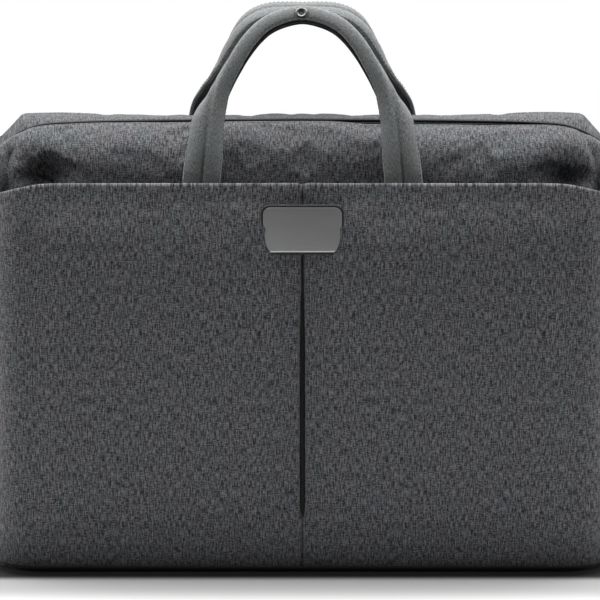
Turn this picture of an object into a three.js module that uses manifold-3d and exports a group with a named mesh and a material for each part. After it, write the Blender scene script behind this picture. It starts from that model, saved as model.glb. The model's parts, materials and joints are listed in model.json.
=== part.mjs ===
// Soft two-handled messenger bag: a zipped main compartment between a front pocket with a hidden
// centre zip and a rear slip pocket. Millimetres, +Z up, -Y is the front, origin under the middle.
import * as THREE from "three";
import { mergeVertices } from "three/addons/utils/BufferGeometryUtils.js";
import Module from "manifold-3d";

const wasm = await Module();
wasm.setup();

// ---------------------------------------------------------------- driving dimensions
const GAP = 0.3; // left between neighbouring pieces
const CLOTH = 2.5; // padded cloth wall: face fabric, foam and backing
const WALL = { front: -38, rear: 54, halfWidth: 200, top: 250 }; // outer faces of the compartment walls
const HINGE_Z = 252; // level at which the mouth of the bag folds open
const CAP_BASE = 252.8; // lower edge of the folding mouth pieces
const SIDE = { halfWidth: 203, bulge: 8.2 }; // side gusset, and how far it swells
const POCKET = { halfWidth: 201, corner: 24, depth: 27, top: 255, dip: 8 };
const SLOT = { halfWidth: 1.4, bottom: 38, top: 238 }; // hidden zip opening in the front pocket
const REAR_POCKET = { halfWidth: 200, corner: 20, depth: 14.3, top: 250 };
const BASE = { halfWidth: 196, front: -50.5, rear: 51, corner: 25 };
const PLATE = { width: 50.8, height: 29, radius: 4.6, z: 226.8, front: -68.4 };
const BEZEL = { width: 53.5, height: 32.3, radius: 6, front: -68.6, back: -66.1 };
const STRAP = { width: 25, thickness: 2.6, fold: 9, spread: 66.5 };
const LINING = { width: 22, thickness: 0.7 };
const TEETH = { inner: 0.3, outer: 2.5, bottom: -2.6, top: 0.2 }; // zip teeth, across and through
const TAPE = { inner: 0.4, outer: 7.5, bottom: -5.3, top: -4.5 };
const LIP = 3.2; // cloth edge to the middle of the zip
const LONG_START = 0.62; // share of a mouth half's profile that belongs to its end piece
const ZIP_END = 194; // lower end of the main zip on each side
const SLIDER_Z = 216; // parked main zip slider
const D_RING = { z: 172, stand: 4.3, wire: 1.6, halfWidth: 12, drop: 17 };

// Half of the main zip's line, in X and Z, from the side up and over to the middle.
const ZIP_LINE = [
  [211.2, CAP_BASE], [211, 262], [210.2, 270], [207.6, 276.2], [202.4, 280.9],
  [193, 285.6], [183, 289], [173, 291.3], [150, 292.8], [100, 293.9], [0, 294.7],
];

// ---------------------------------------------------------------- materials
const material = (color, roughness, metalness = 0) =>
  new THREE.MeshStandardMaterial({ color, roughness, metalness });
const CHARCOAL = material(0x4a4d50, 0.9);
const DARK_CLOTH = material(0x2c2e30, 0.9);
const LINING_CLOTH = material(0x33383d, 0.8);
const TAPE_CLOTH = material(0x1f2022, 0.85);
const BLACK_PLASTIC = material(0x111213, 0.5);
const BOARD = material(0x1c1c1e, 0.7);
const BRUSHED_STEEL = material(0x8d8d8e, 0.38, 1);
const GUNMETAL = material(0x55575a, 0.35, 1);

// ---------------------------------------------------------------- geometry helpers
const v3 = (x, y, z) => new THREE.Vector3(x, y, z);
const mix = (a, b, t) => a + (b - a) * t;
const clamp01 = (t) => Math.min(1, Math.max(0, t));
const smooth = (a, b, x) => THREE.MathUtils.smoothstep(x, a, b);

// Piecewise-linear lookup in a table of [key, value] rows with rising keys.
function lookup(table, key) {
  const above = table.findIndex(([k]) => k >= key);
  if (above === 0) return table[0][1];
  if (above < 0) return table[table.length - 1][1];
  const [[k0, a], [k1, b]] = [table[above - 1], table[above]];
  return mix(a, b, (key - k0) / (k1 - k0));
}

function meshOf(points, triangles) {
  const geometry = new THREE.BufferGeometry();
  const position = new Float32Array(points.flatMap((p) => [p.x, p.y, p.z]));
  geometry.setAttribute("position", new THREE.BufferAttribute(position, 3));
  geometry.setIndex(triangles.flat());
  return geometry;
}

function solidOf(geometry) {
  const bare = geometry.clone();
  for (const name of Object.keys(bare.attributes))
    if (name !== "position") bare.deleteAttribute(name);
  const merged = mergeVertices(bare, 1e-4);
  return new wasm.Manifold(
    new wasm.Mesh({
      numProp: 3,
      vertProperties: merged.attributes.position.array,
      triVerts: new Uint32Array(merged.index.array),
    }),
  );
}

function geometryOf(solid) {
  const { vertProperties, triVerts } = solid.getMesh();
  const geometry = new THREE.BufferGeometry();
  geometry.setAttribute("position", new THREE.BufferAttribute(vertProperties, 3));
  geometry.setIndex(new THREE.BufferAttribute(triVerts, 1));
  return geometry;
}

const cut = (geometry, ...tools) =>
  geometryOf(tools.reduce((s, t) => s.subtract(solidOf(t)), solidOf(geometry)));
const join = (geometry, ...others) =>
  geometryOf(others.reduce((s, t) => s.add(solidOf(t)), solidOf(geometry)));

// A box between two corners.
function box(x0, x1, y0, y1, z0, z1) {
  const geometry = new THREE.BoxGeometry(x1 - x0, y1 - y0, z1 - z0);
  return geometry.translate((x0 + x1) / 2, (y0 + y1) / 2, (z0 + z1) / 2);
}

// A cylinder along Y between two levels.
function rod(radius, x, z, y0, y1, sides = 20) {
  const geometry = new THREE.CylinderGeometry(radius, radius, y1 - y0, sides);
  return geometry.translate(x, (y0 + y1) / 2, z);
}

// A cloth wall of even thickness behind surface(u, v), whose u and v directions turn outwards.
function cloth(surface, uSteps, vSteps, thickness = CLOTH) {
  const small = 1e-3;
  const outer = [], inner = [];
  for (let j = 0; j <= vSteps; j++)
    for (let i = 0; i <= uSteps; i++) {
      const [u, v] = [i / uSteps, j / vSteps];
      const along = (du, dv) => surface(clamp01(u + du), clamp01(v + dv));
      const across = along(small, 0).sub(along(-small, 0));
      const up = along(0, small).sub(along(0, -small));
      const normal = across.cross(up).normalize();
      outer.push(surface(u, v));
      inner.push(surface(u, v).addScaledVector(normal, -thickness));
    }
  const row = uSteps + 1;
  const at = (i, j) => j * row + i;
  const back = (i, j) => outer.length + at(i, j);
  const triangles = [];
  const quad = (a, b, c, d) => triangles.push([a, b, c], [a, c, d]);
  for (let j = 0; j < vSteps; j++)
    for (let i = 0; i < uSteps; i++) {
      quad(at(i, j), at(i + 1, j), at(i + 1, j + 1), at(i, j + 1));
      quad(back(i, j), back(i, j + 1), back(i + 1, j + 1), back(i + 1, j));
    }
  for (let i = 0; i < uSteps; i++) {
    quad(at(i, 0), back(i, 0), back(i + 1, 0), at(i + 1, 0));
    quad(at(i, vSteps), at(i + 1, vSteps), back(i + 1, vSteps), back(i, vSteps));
  }
  for (let j = 0; j < vSteps; j++) {
    quad(at(0, j), at(0, j + 1), back(0, j + 1), back(0, j));
    quad(at(uSteps, j), back(uSteps, j), back(uSteps, j + 1), at(uSteps, j + 1));
  }
  return meshOf([...outer, ...inner], triangles);
}

// A solid through rings of points; the section is given once in 2D for its end caps.
function loft(rings, section, closed = false) {
  const count = section.length;
  const triangles = [];
  const last = closed ? rings.length : rings.length - 1;
  for (let r = 0; r < last; r++)
    for (let i = 0; i < count; i++) {
      const [a, b] = [r * count + i, r * count + ((i + 1) % count)];
      const next = ((r + 1) % rings.length) * count;
      const [c, d] = [next + ((i + 1) % count), next + i];
      triangles.push([a, b, c], [a, c, d]);
    }
  if (!closed) {
    const end = (rings.length - 1) * count;
    const clockwise = THREE.ShapeUtils.isClockWise(section);
    for (const [a, p, q] of THREE.ShapeUtils.triangulateShape(section, [])) {
      const [b, c] = clockwise ? [q, p] : [p, q];
      triangles.push([a, c, b], [end + a, end + b, end + c]);
    }
  }
  const geometry = meshOf(rings.flat(), triangles);
  return solidOf(geometry).volume() < 0
    ? meshOf(rings.flat(), triangles.map(([a, b, c]) => [a, c, b]))
    : geometry;
}

function roundedRectangle(width, height, radius) {
  const [w, h, r] = [width / 2, height / 2, radius];
  const shape = new THREE.Shape();
  shape.moveTo(-w + r, -h);
  shape.lineTo(w - r, -h).absarc(w - r, -h + r, r, -Math.PI / 2, 0);
  shape.lineTo(w, h - r).absarc(w - r, h - r, r, 0, Math.PI / 2);
  shape.lineTo(-w + r, h).absarc(-w + r, h - r, r, Math.PI / 2, Math.PI);
  shape.lineTo(-w, -h + r).absarc(-w + r, -h + r, r, Math.PI, Math.PI * 1.5);
  return shape;
}

// A plate seen from the front: its outline in X and Z, from yFront back to yBack.
function frontPlate(shape, z, yFront, yBack) {
  const options = { depth: yBack - yFront, bevelEnabled: false, curveSegments: 6 };
  const geometry = new THREE.ExtrudeGeometry(shape, options);
  return geometry.rotateX(Math.PI / 2).translate(0, yBack, z);
}

// ---------------------------------------------------------------- assembly
const bag = new THREE.Group();
function add(name, geometry, finish) {
  const mesh = new THREE.Mesh(geometry, finish);
  mesh.name = name;
  bag.add(mesh);
}
const SIDES = [["left", -1], ["right", 1]];

// Turns a right-hand surface into the left-hand one, keeping its faces outwards.
const handed = (side, surface) =>
  side > 0
    ? surface
    : (u, v) => {
        const p = surface(1 - u, v);
        return v3(-p.x, p.y, p.z);
      };

// ---------------------------------------------------------------- front pocket
// How far the pocket's face stands in front of the compartment wall at height z.
const pocketDepth = (z) =>
  POCKET.depth + Math.sin((Math.PI * clamp01(z / 240))) - 3 * smooth(236, 258, z)
  - 11 * Math.pow(1 - clamp01(z / 30), 2);

function pocketFace(u, v) {
  const straight = POCKET.halfWidth - POCKET.corner;
  const corner = (Math.PI / 2) * POCKET.corner;
  const along = u * (straight + corner);
  const turn = Math.max(0, (along - straight) / POCKET.corner);
  const edge = POCKET.top - POCKET.dip * smooth(165, straight + corner, along);
  const z = v * edge;
  const x = turn > 0 ? straight + POCKET.corner * Math.sin(turn) : Math.max(0.15, along);
  const reach = pocketDepth(z) * Math.cos(turn);
  return v3(x, WALL.front - GAP - reach, z);
}

function frontPocket() {
  const slot = box(-SLOT.halfWidth, SLOT.halfWidth, -80, -50, SLOT.bottom, SLOT.top);
  for (const [side, sign] of SIDES) {
    const hole = rod(1.9, sign * 18, PLATE.z, -80, -50, 12);
    const panel = cloth(handed(sign, pocketFace), 10, 9);
    add(`front_pocket_panel_${side}`, cut(panel, slot, hole), CHARCOAL);
    const washer = cut(
      rod(5, sign * 18, PLATE.z, -61.9, -61.1),
      rod(1.8, sign * 18, PLATE.z, -63, -60),
    );
    add(`nameplate_washer_${side}`, washer, GUNMETAL);
  }
  const frame = frontPlate(
    roundedRectangle(BEZEL.width, BEZEL.height, BEZEL.radius), PLATE.z, BEZEL.front, BEZEL.back,
  );
  const recess = frontPlate(
    roundedRectangle(PLATE.width + 0.6, PLATE.height + 0.6, PLATE.radius + 0.3),
    PLATE.z, BEZEL.front - 1, PLATE.front + 1.6,
  );
  const posts = SIDES.map(([, sign]) => rod(1.5, sign * 18, PLATE.z, BEZEL.back - 0.5, -60.6, 12));
  add("nameplate_bezel", join(cut(frame, recess), ...posts), BLACK_PLASTIC);
  add(
    "nameplate",
    frontPlate(
      roundedRectangle(PLATE.width, PLATE.height, PLATE.radius), PLATE.z, PLATE.front,
      PLATE.front + 1.3,
    ),
    BRUSHED_STEEL,
  );
  add("slot_zip_tape", box(-12, 12, -57.8, -57, SLOT.bottom - 8, SLOT.top + 5), TAPE_CLOTH);
  add("slot_zip_teeth", box(-1.9, 1.9, -60, -58.1, SLOT.bottom, SLOT.top - 1), BLACK_PLASTIC);
  add("slot_zip_slider", box(-3.4, 3.4, -62, -60.3, 226, 236), GUNMETAL);
  add("slot_zip_puller", box(-1, 1, -64.8, -62.3, 211, 230), BLACK_PLASTIC);
}

// ---------------------------------------------------------------- fixed walls
function sideFace(u, v) {
  const z = v * (HINGE_Z - 0.3);
  const swell = SIDE.bulge * mix(0.25, 1, smooth(0, 110, z));
  const y = mix(WALL.front + 0.5, WALL.rear - 0.5, u);
  return v3(SIDE.halfWidth + swell * Math.pow(Math.sin(Math.PI * u), 0.7), y, z);
}

// How far out the side gusset stands on the zip's line at height z.
const sideAtZip = (z) =>
  sideFace(-(WALL.front + 0.5) / (WALL.rear - WALL.front - 1), z / (HINGE_Z - 0.3)).x;

function rearPocketFace(u, v) {
  const { halfWidth, corner, depth, top } = REAR_POCKET;
  const straight = halfWidth - corner;
  const quarter = (Math.PI / 2) * corner;
  const along = mix(straight + quarter, -straight - quarter, u);
  const turn = Math.max(0, (Math.abs(along) - straight) / corner);
  const x = turn > 0
    ? Math.sign(along) * (straight + corner * Math.sin(turn))
    : along;
  const z = v * top;
  const curl = Math.sqrt(1 - Math.pow(1 - clamp01(z / 12), 2));
  const reach = mix(3, depth, curl) - 4 * smooth(0.45, 1, v);
  return v3(x, WALL.rear + GAP + reach * Math.cos(turn), z);
}

function fixedWalls() {
  const w = WALL.halfWidth;
  add("front_wall", box(-w, w, WALL.front, WALL.front + CLOTH, 2.8, WALL.top), CHARCOAL);
  add("rear_wall", box(-w, w, WALL.rear - CLOTH, WALL.rear, 0, WALL.top), CHARCOAL);
  const opening = (sign) =>
    box(...(sign > 0 ? [190, 230] : [-230, -190]), -LIP, LIP, ZIP_END, 270);
  for (const [side, sign] of SIDES) {
    const wall = cloth(handed(sign, sideFace), 10, 5);
    add(`side_gusset_${side}`, cut(wall, opening(sign)), CHARCOAL);
  }
  add("rear_pocket_panel", cloth(rearPocketFace, 16, 6), CHARCOAL);
  const { halfWidth, front, rear } = BASE;
  const sole = new THREE.Shape();
  sole.moveTo(-halfWidth, rear);
  sole.lineTo(-halfWidth, front + BASE.corner / 2).lineTo(-halfWidth + BASE.corner, front);
  sole.lineTo(halfWidth - BASE.corner, front).lineTo(halfWidth, front + BASE.corner / 2);
  sole.lineTo(halfWidth, rear);
  const base = new THREE.ExtrudeGeometry(sole, { depth: 2.5, bevelEnabled: false });
  add("base_panel", base, DARK_CLOTH);
  add("base_board", box(-192, 192, -33, 49, 4.4, 6.8), BOARD);
  for (const [side, sign] of SIDES) {
    const [x0, x1] = [sign * STRAP.spread - STRAP.width / 2, sign * STRAP.spread + STRAP.width / 2];
    add(`front_handle_anchor_${side}`, box(x0, x1, -41.2, -38.3, 190, 248.8), DARK_CLOTH);
    add(`rear_handle_anchor_${side}`, box(x0, x1, 54.3, 57.2, 190, 250), DARK_CLOTH);
  }
}

// ---------------------------------------------------------------- inside
function inside() {
  const shell = box(-196, 196, -34.6, 50.6, 3.2, 249);
  const hollow = box(-195, 195, -33.6, 49.6, 4.1, 260);
  const zipGap = box(-230, 230, -6, 6, ZIP_END - 4, 260);
  add("main_lining", cut(shell, hollow, zipGap), LINING_CLOTH);
  add("laptop_divider", box(-188, 188, 27, 32, 7.2, 225), LINING_CLOTH);
  const strap = join(
    box(-16, 16, 32.4, 49.2, 236, 237.4),
    box(-16, 16, 47.9, 49.2, 200, 237.4),
    box(-16, 16, 25.2, 32.9, 236, 237.4),
    box(-16, 16, 25.2, 26.6, 195, 237.4),
  );
  add("laptop_strap", strap, TAPE_CLOTH);
  const pouch = cut(box(-150, 150, -33.2, -27.5, 30, 170), box(-148.5, 148.5, -32.2, -28.6, 31.5, 190));
  add("organiser_pocket", pouch, LINING_CLOTH);
}

// ---------------------------------------------------------------- folding mouth
// Height of the cloth edge beside the main zip at x.
const zipHeight = (x) => lookup([...ZIP_LINE].reverse(), Math.abs(x));

// One cross-section of the mouth from its foot (angle 0) over to the zip (angle a quarter turn).
// squareness 2 is a round shoulder, and more is a squarer one.
const MOUTH = {
  front: { y: WALL.front, sign: -1, squareness: 2, lift: -0.4, foot: 201, head: 190 },
  rear: { y: WALL.rear, sign: 1, squareness: 4.5, lift: 1.2, foot: 201, head: 192 },
};

function mouthPoint(half, angle, across) {
  const power = 2 / half.squareness;
  const c = Math.pow(Math.max(0, Math.cos(angle)), power);
  const s = Math.pow(Math.max(0, Math.sin(angle)), power);
  const x = across * mix(half.foot, half.head, Math.pow(s, 3));
  const lip = half.sign * LIP;
  const top = zipHeight(x) + half.lift;
  const square = half.sign > 0 ? 3 * smooth(0.2, 0.9, c) * smooth(150, 200, Math.abs(x)) : 0;
  return v3(x, mix(lip, half.y, c), mix(CAP_BASE, top + square, s));
}

const QUARTER = Math.PI / 2;
const CHEEK_TOP = (75 * Math.PI) / 180;

// The end of the mouth between its long panel and the zip's line down the side.
function cheekPoint(half, across, up) {
  const angle = up * CHEEK_TOP;
  const panel = mouthPoint(half, angle, 1);
  const line = lineAt(up * LONG_START);
  const zip = v3(line.x, half.sign * LIP, line.z + half.lift * up);
  const swell = 2.2 * Math.sin(Math.PI * across) * (1 - up * 0.6);
  const clear = Math.min(0.5, (CLOTH + 0.6) / panel.distanceTo(zip));
  const point = panel.lerp(zip, mix(clear, 1, across));
  return v3(point.x + swell + GAP * (1 - across), point.y, point.z);
}

const halfLine = new THREE.CatmullRomCurve3(
  ZIP_LINE.slice(0, 6).map(([x, z]) => v3(x, 0, z)), false, "centripetal",
);
// The side stretch of the zip's line: t 0 at its foot, LONG_START where the long panel starts.
const lineAt = (t) => halfLine.getPoint(clamp01(t / LONG_START));

function sweepAlongZip(points, sign, y0, y1, low, high) {
  const section = [[y0, low], [y1, low], [y1, high], [y0, high]].map(
    ([a, b]) => new THREE.Vector2(sign * a, b),
  );
  const rings = points.map((p, i) => {
    const [before, after] = [points[Math.max(0, i - 1)], points[Math.min(points.length - 1, i + 1)]];
    const tangent = after.clone().sub(before).normalize();
    const out = v3(tangent.z, 0, -tangent.x);
    return section.map((s) => p.clone().addScaledVector(out, s.y).add(v3(0, s.x, 0)));
  });
  return loft(rings, section);
}

function mouth() {
  const rightHalf = ZIP_LINE.map(([x, z]) => v3(x, 0, z));
  const leftHalf = ZIP_LINE.slice(0, -1).reverse().map(([x, z]) => v3(-x, 0, z));
  const line = [...rightHalf, ...leftHalf];
  for (const [name, half] of Object.entries(MOUTH)) {
    const panel = half.sign < 0
      ? (u, v) => mouthPoint(half, v * QUARTER, mix(-1, 1, u))
      : (u, v) => mouthPoint(half, v * QUARTER, mix(1, -1, u));
    add(`${name}_mouth_panel`, cloth(panel, 18, 6), CHARCOAL);
    for (const [side, sign] of SIDES) {
      const cheek = half.sign < 0
        ? (u, v) => cheekPoint(half, u, v)
        : (u, v) => cheekPoint(half, 1 - u, v);
      add(`${name}_mouth_cheek_${side}`, cloth(handed(sign, cheek), 4, 6), CHARCOAL);
    }
    const teeth = sweepAlongZip(line, half.sign, TEETH.inner, TEETH.outer, TEETH.bottom, TEETH.top);
    const tape = sweepAlongZip(line, half.sign, TAPE.inner, TAPE.outer, TAPE.bottom, TAPE.top);
    add(`${name}_zip_teeth`, teeth, BLACK_PLASTIC);
    add(`${name}_zip_tape`, tape, TAPE_CLOTH);
  }
}

// ---------------------------------------------------------------- side hardware
function sideHardware() {
  for (const [side, sign] of SIDES) {
    const at = (low, high) => (sign > 0 ? [low, high] : [-high, -low]);
    const face = sideAtZip(230);
    const tail = join(
      box(...at(face - 4.8, face - 4), -7, 7, ZIP_END - 3, HINGE_Z - 0.3),
      box(...at(face - 4.2, face + TEETH.top), -TEETH.outer, TEETH.outer, ZIP_END + 1, HINGE_Z - 0.3),
    );
    add(`side_zip_${side}`, tail, BLACK_PLASTIC);

    const slider = cut(
      join(
        box(...at(face + 0.5, face + 2.6), -4.4, 4.4, SLIDER_Z - 5.5, SLIDER_Z + 5.5),
        box(...at(face + 2.4, face + 5.8), -1, 1, SLIDER_Z - 4, SLIDER_Z + 4),
      ),
      box(...at(face + 2.6, face + 4.7), -3, 3, SLIDER_Z - 2.6, SLIDER_Z + 2.6),
    );
    add(`zip_slider_${side}`, slider, GUNMETAL);
    const puller = cut(
      box(...at(face + 3, face + 4.3), -3.4, 3.4, SLIDER_Z - 19, SLIDER_Z + 0.8),
      box(...at(face + 2, face + 6), -1.8, 1.8, SLIDER_Z - 6.6, SLIDER_Z - 0.6),
    );
    add(`zip_puller_${side}`, puller, GUNMETAL);

    const { z, stand, wire, halfWidth, drop } = D_RING;
    const profile = new THREE.Shape();
    profile.absarc(stand, 0, 4, 0, Math.PI * 2, false);
    profile.holes.push(new THREE.Path().absarc(stand, 0, 2.1, 0, Math.PI * 2, true));
    const loop = new THREE.ExtrudeGeometry(profile, { depth: 16, bevelEnabled: false, curveSegments: 6 });
    loop.rotateX(Math.PI / 2).translate(face, 8, z);
    const strip = box(face + 0.35, face + 2.3, -8, 8, z, ZIP_END - 4);
    const tab = cut(join(loop, strip), rod(2.1, face + stand, z, -30, 30, 16));
    const mirror = sign > 0 ? tab : geometryOf(solidOf(tab).mirror([1, 0, 0]));
    add(`d_ring_tab_${side}`, mirror, DARK_CLOTH);

    const path = [];
    const round = 3;
    for (const y of [-halfWidth + round, halfWidth - round]) path.push([y, 0]);
    const arcs = 10;
    for (let i = 0; i <= arcs; i++) {
      const turn = (Math.PI * i) / arcs;
      path.push([halfWidth * Math.cos(turn), -round - (drop - round) * Math.sin(turn)]);
    }
    const centre = sign * (face + stand);
    const ring = path.map(([y, dz], i) => {
      const [py, pz] = path[(i + path.length - 1) % path.length];
      const [ny, nz] = path[(i + 1) % path.length];
      const tangent = v3(0, ny - py, nz - pz).normalize();
      const out = v3(1, 0, 0).cross(tangent);
      return Array.from({ length: 6 }, (_, k) => {
        const turn = (Math.PI * 2 * k) / 6;
        return v3(centre, y, z + dz)
          .addScaledVector(out, wire * Math.cos(turn))
          .add(v3(wire * Math.sin(turn), 0, 0));
      });
    });
    add(`d_ring_${side}`, loft(ring, ring[0], true), GUNMETAL);
  }
}

// ---------------------------------------------------------------- carrying handles
// Rows of [height, value]: lean is the spine's Y; open is half the angle between the strap's two
// folded halves; face is the turn of its spine from outward (0) to facing away from the bag (90).
const HANDLES = {
  front: {
    sign: -1,
    spine: [
      [66.2, 252.4], [65.6, 260], [64.5, 271], [63.4, 284], [61.6, 297.8], [59.2, 308],
      [56.4, 317.8], [53, 325.4], [48.6, 333.2], [42.4, 343.2], [34.8, 352.8], [26, 360.4],
      [14.8, 365.6], [0, 368.4],
    ],
    lean: [[252, -42], [262, -42], [280, -40.8], [300, -37.5], [330, -31], [369, -22]],
    open: [[252, 88], [262, 84], [279, 62], [295, 48], [306, 36], [316, 24], [325, 14], [371, 12]],
    face: [[252, 90], [296, 86], [306, 76], [316, 54], [326, 28], [336, 8], [347, -6], [358, -16], [369, -22]],
    snap: 360,
  },
  rear: {
    sign: 1,
    spine: [
      [66.2, 252.4], [66.2, 275], [65.6, 290], [63.8, 301], [60.5, 312], [57.5, 322], [54.5, 332],
      [51, 342], [46.4, 350.6], [39.6, 358.8], [31, 364.6], [22, 367.4], [11, 368], [0, 367.8],
    ],
    lean: [[252, 58], [288, 58], [300, 55.2], [320, 48], [345, 36.5], [370, 23]],
    open: [[252, 88], [286, 86], [298, 74], [310, 56], [322, 44], [334, 44], [345, 60], [354, 74], [374, 80]],
    face: [[252, 90], [304, 90], [316, 76], [328, 52], [338, 24], [348, -4], [358, -20], [370, -24]],
    snap: 366,
  },
};

// Points across the folded strap in its own plane: [out of the spine, along the width].
function foldedStrip(width, thickness, offset, openDegrees) {
  const turn = Math.PI - 2 * THREE.MathUtils.degToRad(openDegrees);
  const steps = 8;
  const outer = [], inner = [];
  for (const sign of [-1, 1]) {
    let [n, w] = [0, 0];
    const rows = [];
    for (let i = 0; i <= steps / 2; i++) {
      const reach = (width / 2) * (i / (steps / 2));
      const heading = turn * Math.min(0.5, reach / STRAP.fold);
      rows.push([n, w, heading]);
      const step = width / steps;
      const middle = turn * Math.min(0.5, (reach + step / 2) / STRAP.fold);
      n -= Math.sin(middle) * step;
      w += Math.cos(middle) * step;
    }
    for (const [pn, pw, heading] of sign < 0 ? rows.reverse() : rows.slice(1)) {
      const shift = (d) => [pn + d * Math.cos(heading), sign * (pw + d * Math.sin(heading))];
      outer.push(shift(offset + thickness / 2));
      inner.push(shift(offset - thickness / 2));
    }
  }
  return [...outer, ...inner.reverse()].map(([a, b]) => new THREE.Vector2(a, b));
}

function handleStrap(handle, width, thickness, offset) {
  const half = handle.spine.map(([x, z]) => v3(x, lookup(handle.lean, z), z));
  const whole = [...half, ...half.slice(0, -1).reverse().map((p) => v3(-p.x, p.y, p.z))];
  const curve = new THREE.CatmullRomCurve3(whole, false, "centripetal");
  const steps = 30;
  const away = v3(0, handle.sign, 0);
  let section = null;
  const rings = [];
  for (let i = 0; i <= steps; i++) {
    const point = curve.getPointAt(i / steps);
    const tangent = curve.getTangentAt(i / steps);
    const outward = away.clone().cross(tangent).multiplyScalar(handle.sign).normalize();
    const facing = tangent.clone().cross(outward).normalize();
    if (facing.y * handle.sign < 0) facing.negate();
    const face = THREE.MathUtils.degToRad(lookup(handle.face, point.z));
    const out = outward.clone().multiplyScalar(Math.cos(face)).addScaledVector(facing, Math.sin(face));
    const along = outward.clone().multiplyScalar(-Math.sin(face)).addScaledVector(facing, Math.cos(face));
    section = foldedStrip(width, thickness, offset, lookup(handle.open, point.z));
    rings.push(section.map((s) => point.clone().addScaledVector(out, s.x).addScaledVector(along, s.y)));
  }
  return loft(rings, section);
}

function handles() {
  for (const [name, handle] of Object.entries(HANDLES)) {
    const middle = lookup(handle.lean, handle.snap + 4);
    const hole = rod(1.9, 0, handle.snap, middle - 14, middle + 14, 12);
    const strap = handleStrap(handle, STRAP.width, STRAP.thickness, 0);
    const lining = handleStrap(
      handle, LINING.width, LINING.thickness, -(STRAP.thickness + LINING.thickness) / 2 - 3 * GAP,
    );
    add(`${name}_handle_strap`, cut(strap, hole), CHARCOAL);
    add(`${name}_handle_lining`, cut(lining, hole), LINING_CLOTH);
  }
}

frontPocket();
fixedWalls();
inside();
mouth();
sideHardware();
handles();

export default bag;
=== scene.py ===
"""A soft, two-handled messenger bag in charcoal melange cloth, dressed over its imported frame.

Shapes are worked out in millimetres, X to the right, -Y to the front and +Z up, and turn into
metres when a mesh is made. Left and right are as seen by someone who faces the front pocket.
"""

import sys

import json
import logging
import math
from dataclasses import dataclass, field
from enum import Enum
from typing import Any, Callable, Optional, Sequence

import bmesh
import bpy
import numpy as np
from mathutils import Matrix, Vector

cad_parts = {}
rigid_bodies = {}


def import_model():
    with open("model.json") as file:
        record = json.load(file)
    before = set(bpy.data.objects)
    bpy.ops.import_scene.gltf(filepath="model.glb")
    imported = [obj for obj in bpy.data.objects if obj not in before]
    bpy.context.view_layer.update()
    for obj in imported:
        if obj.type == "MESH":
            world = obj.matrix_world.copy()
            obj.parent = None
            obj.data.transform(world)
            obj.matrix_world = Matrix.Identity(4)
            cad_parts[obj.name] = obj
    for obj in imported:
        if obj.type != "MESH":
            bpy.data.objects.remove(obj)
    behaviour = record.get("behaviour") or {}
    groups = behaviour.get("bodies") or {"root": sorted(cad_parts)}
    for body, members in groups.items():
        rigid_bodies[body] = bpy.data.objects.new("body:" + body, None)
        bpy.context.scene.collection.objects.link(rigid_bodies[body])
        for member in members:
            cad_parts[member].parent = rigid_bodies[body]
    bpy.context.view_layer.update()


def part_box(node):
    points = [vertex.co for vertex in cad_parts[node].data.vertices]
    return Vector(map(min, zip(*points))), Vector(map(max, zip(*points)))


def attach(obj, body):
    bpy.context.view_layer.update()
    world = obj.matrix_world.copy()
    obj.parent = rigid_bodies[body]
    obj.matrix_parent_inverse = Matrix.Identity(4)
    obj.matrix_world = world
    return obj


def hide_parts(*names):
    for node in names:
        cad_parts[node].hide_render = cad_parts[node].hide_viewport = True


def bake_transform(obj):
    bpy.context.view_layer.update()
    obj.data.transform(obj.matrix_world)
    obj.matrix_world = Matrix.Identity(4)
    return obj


MM = 0.001
LOG = logging.getLogger("messenger_bag")

# The ends of the body: how far out they start, how far they swell and how square the swell is.
END_REACH = 203
END_SWELL = 8.2
END_ROUNDNESS = 0.7
Array = np.ndarray
Row = tuple[float, float]


class Side(Enum):
    """The two ends of the bag."""

    LEFT = -1
    RIGHT = 1

    @property
    def word(self) -> str:
        """The side's name as it stands in node names."""
        return self.name.lower()


class Face(Enum):
    """The two long faces of the bag, by the sign of Y that they look along."""

    FRONT = -1
    REAR = 1

    @property
    def word(self) -> str:
        """The face's name as it stands in node names."""
        return self.name.lower()


# ------------------------------------------------------------------ small numeric helpers


def ease(low: float, high: float, value: Any) -> Any:
    """Smooth step from 0 at low to 1 at high."""
    t = np.clip((np.asarray(value, float) - low) / (high - low), 0, 1)
    return t * t * (3 - 2 * t)


def bell(centre: float, width: float, value: Any) -> Any:
    """Bell curve of height 1 at centre, fading over width."""
    return np.exp(-(((np.asarray(value, float) - centre) / width) ** 2))


def mix(a: Any, b: Any, t: Any) -> Any:
    """Value a share t of the way from a to b."""
    return a + (b - a) * t


def unit(vectors: Array) -> Array:
    """Vectors scaled to length one."""
    return vectors / np.maximum(np.linalg.norm(vectors, axis=-1, keepdims=True), 1e-12)


def lookup(rows: Sequence[Row], key: Any) -> Any:
    """Straight-line reading of a table of (key, value) rows."""
    table = np.asarray(rows, float)
    return np.interp(key, table[:, 0], table[:, 1])


def evenly(points: Array, count: int) -> Array:
    """Points spaced evenly along a polyline.

    Args:
        points: the polyline, one point a row.
        count: how many points to return, ends included.

    Returns:
        The new points, one a row.
    """
    steps = np.linalg.norm(np.diff(points, axis=0), axis=1)
    along = np.concatenate([[0], np.cumsum(steps)])
    wanted = np.linspace(0, along[-1], count)
    return np.stack([np.interp(wanted, along, points[:, k]) for k in range(points.shape[1])], axis=1)


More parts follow.
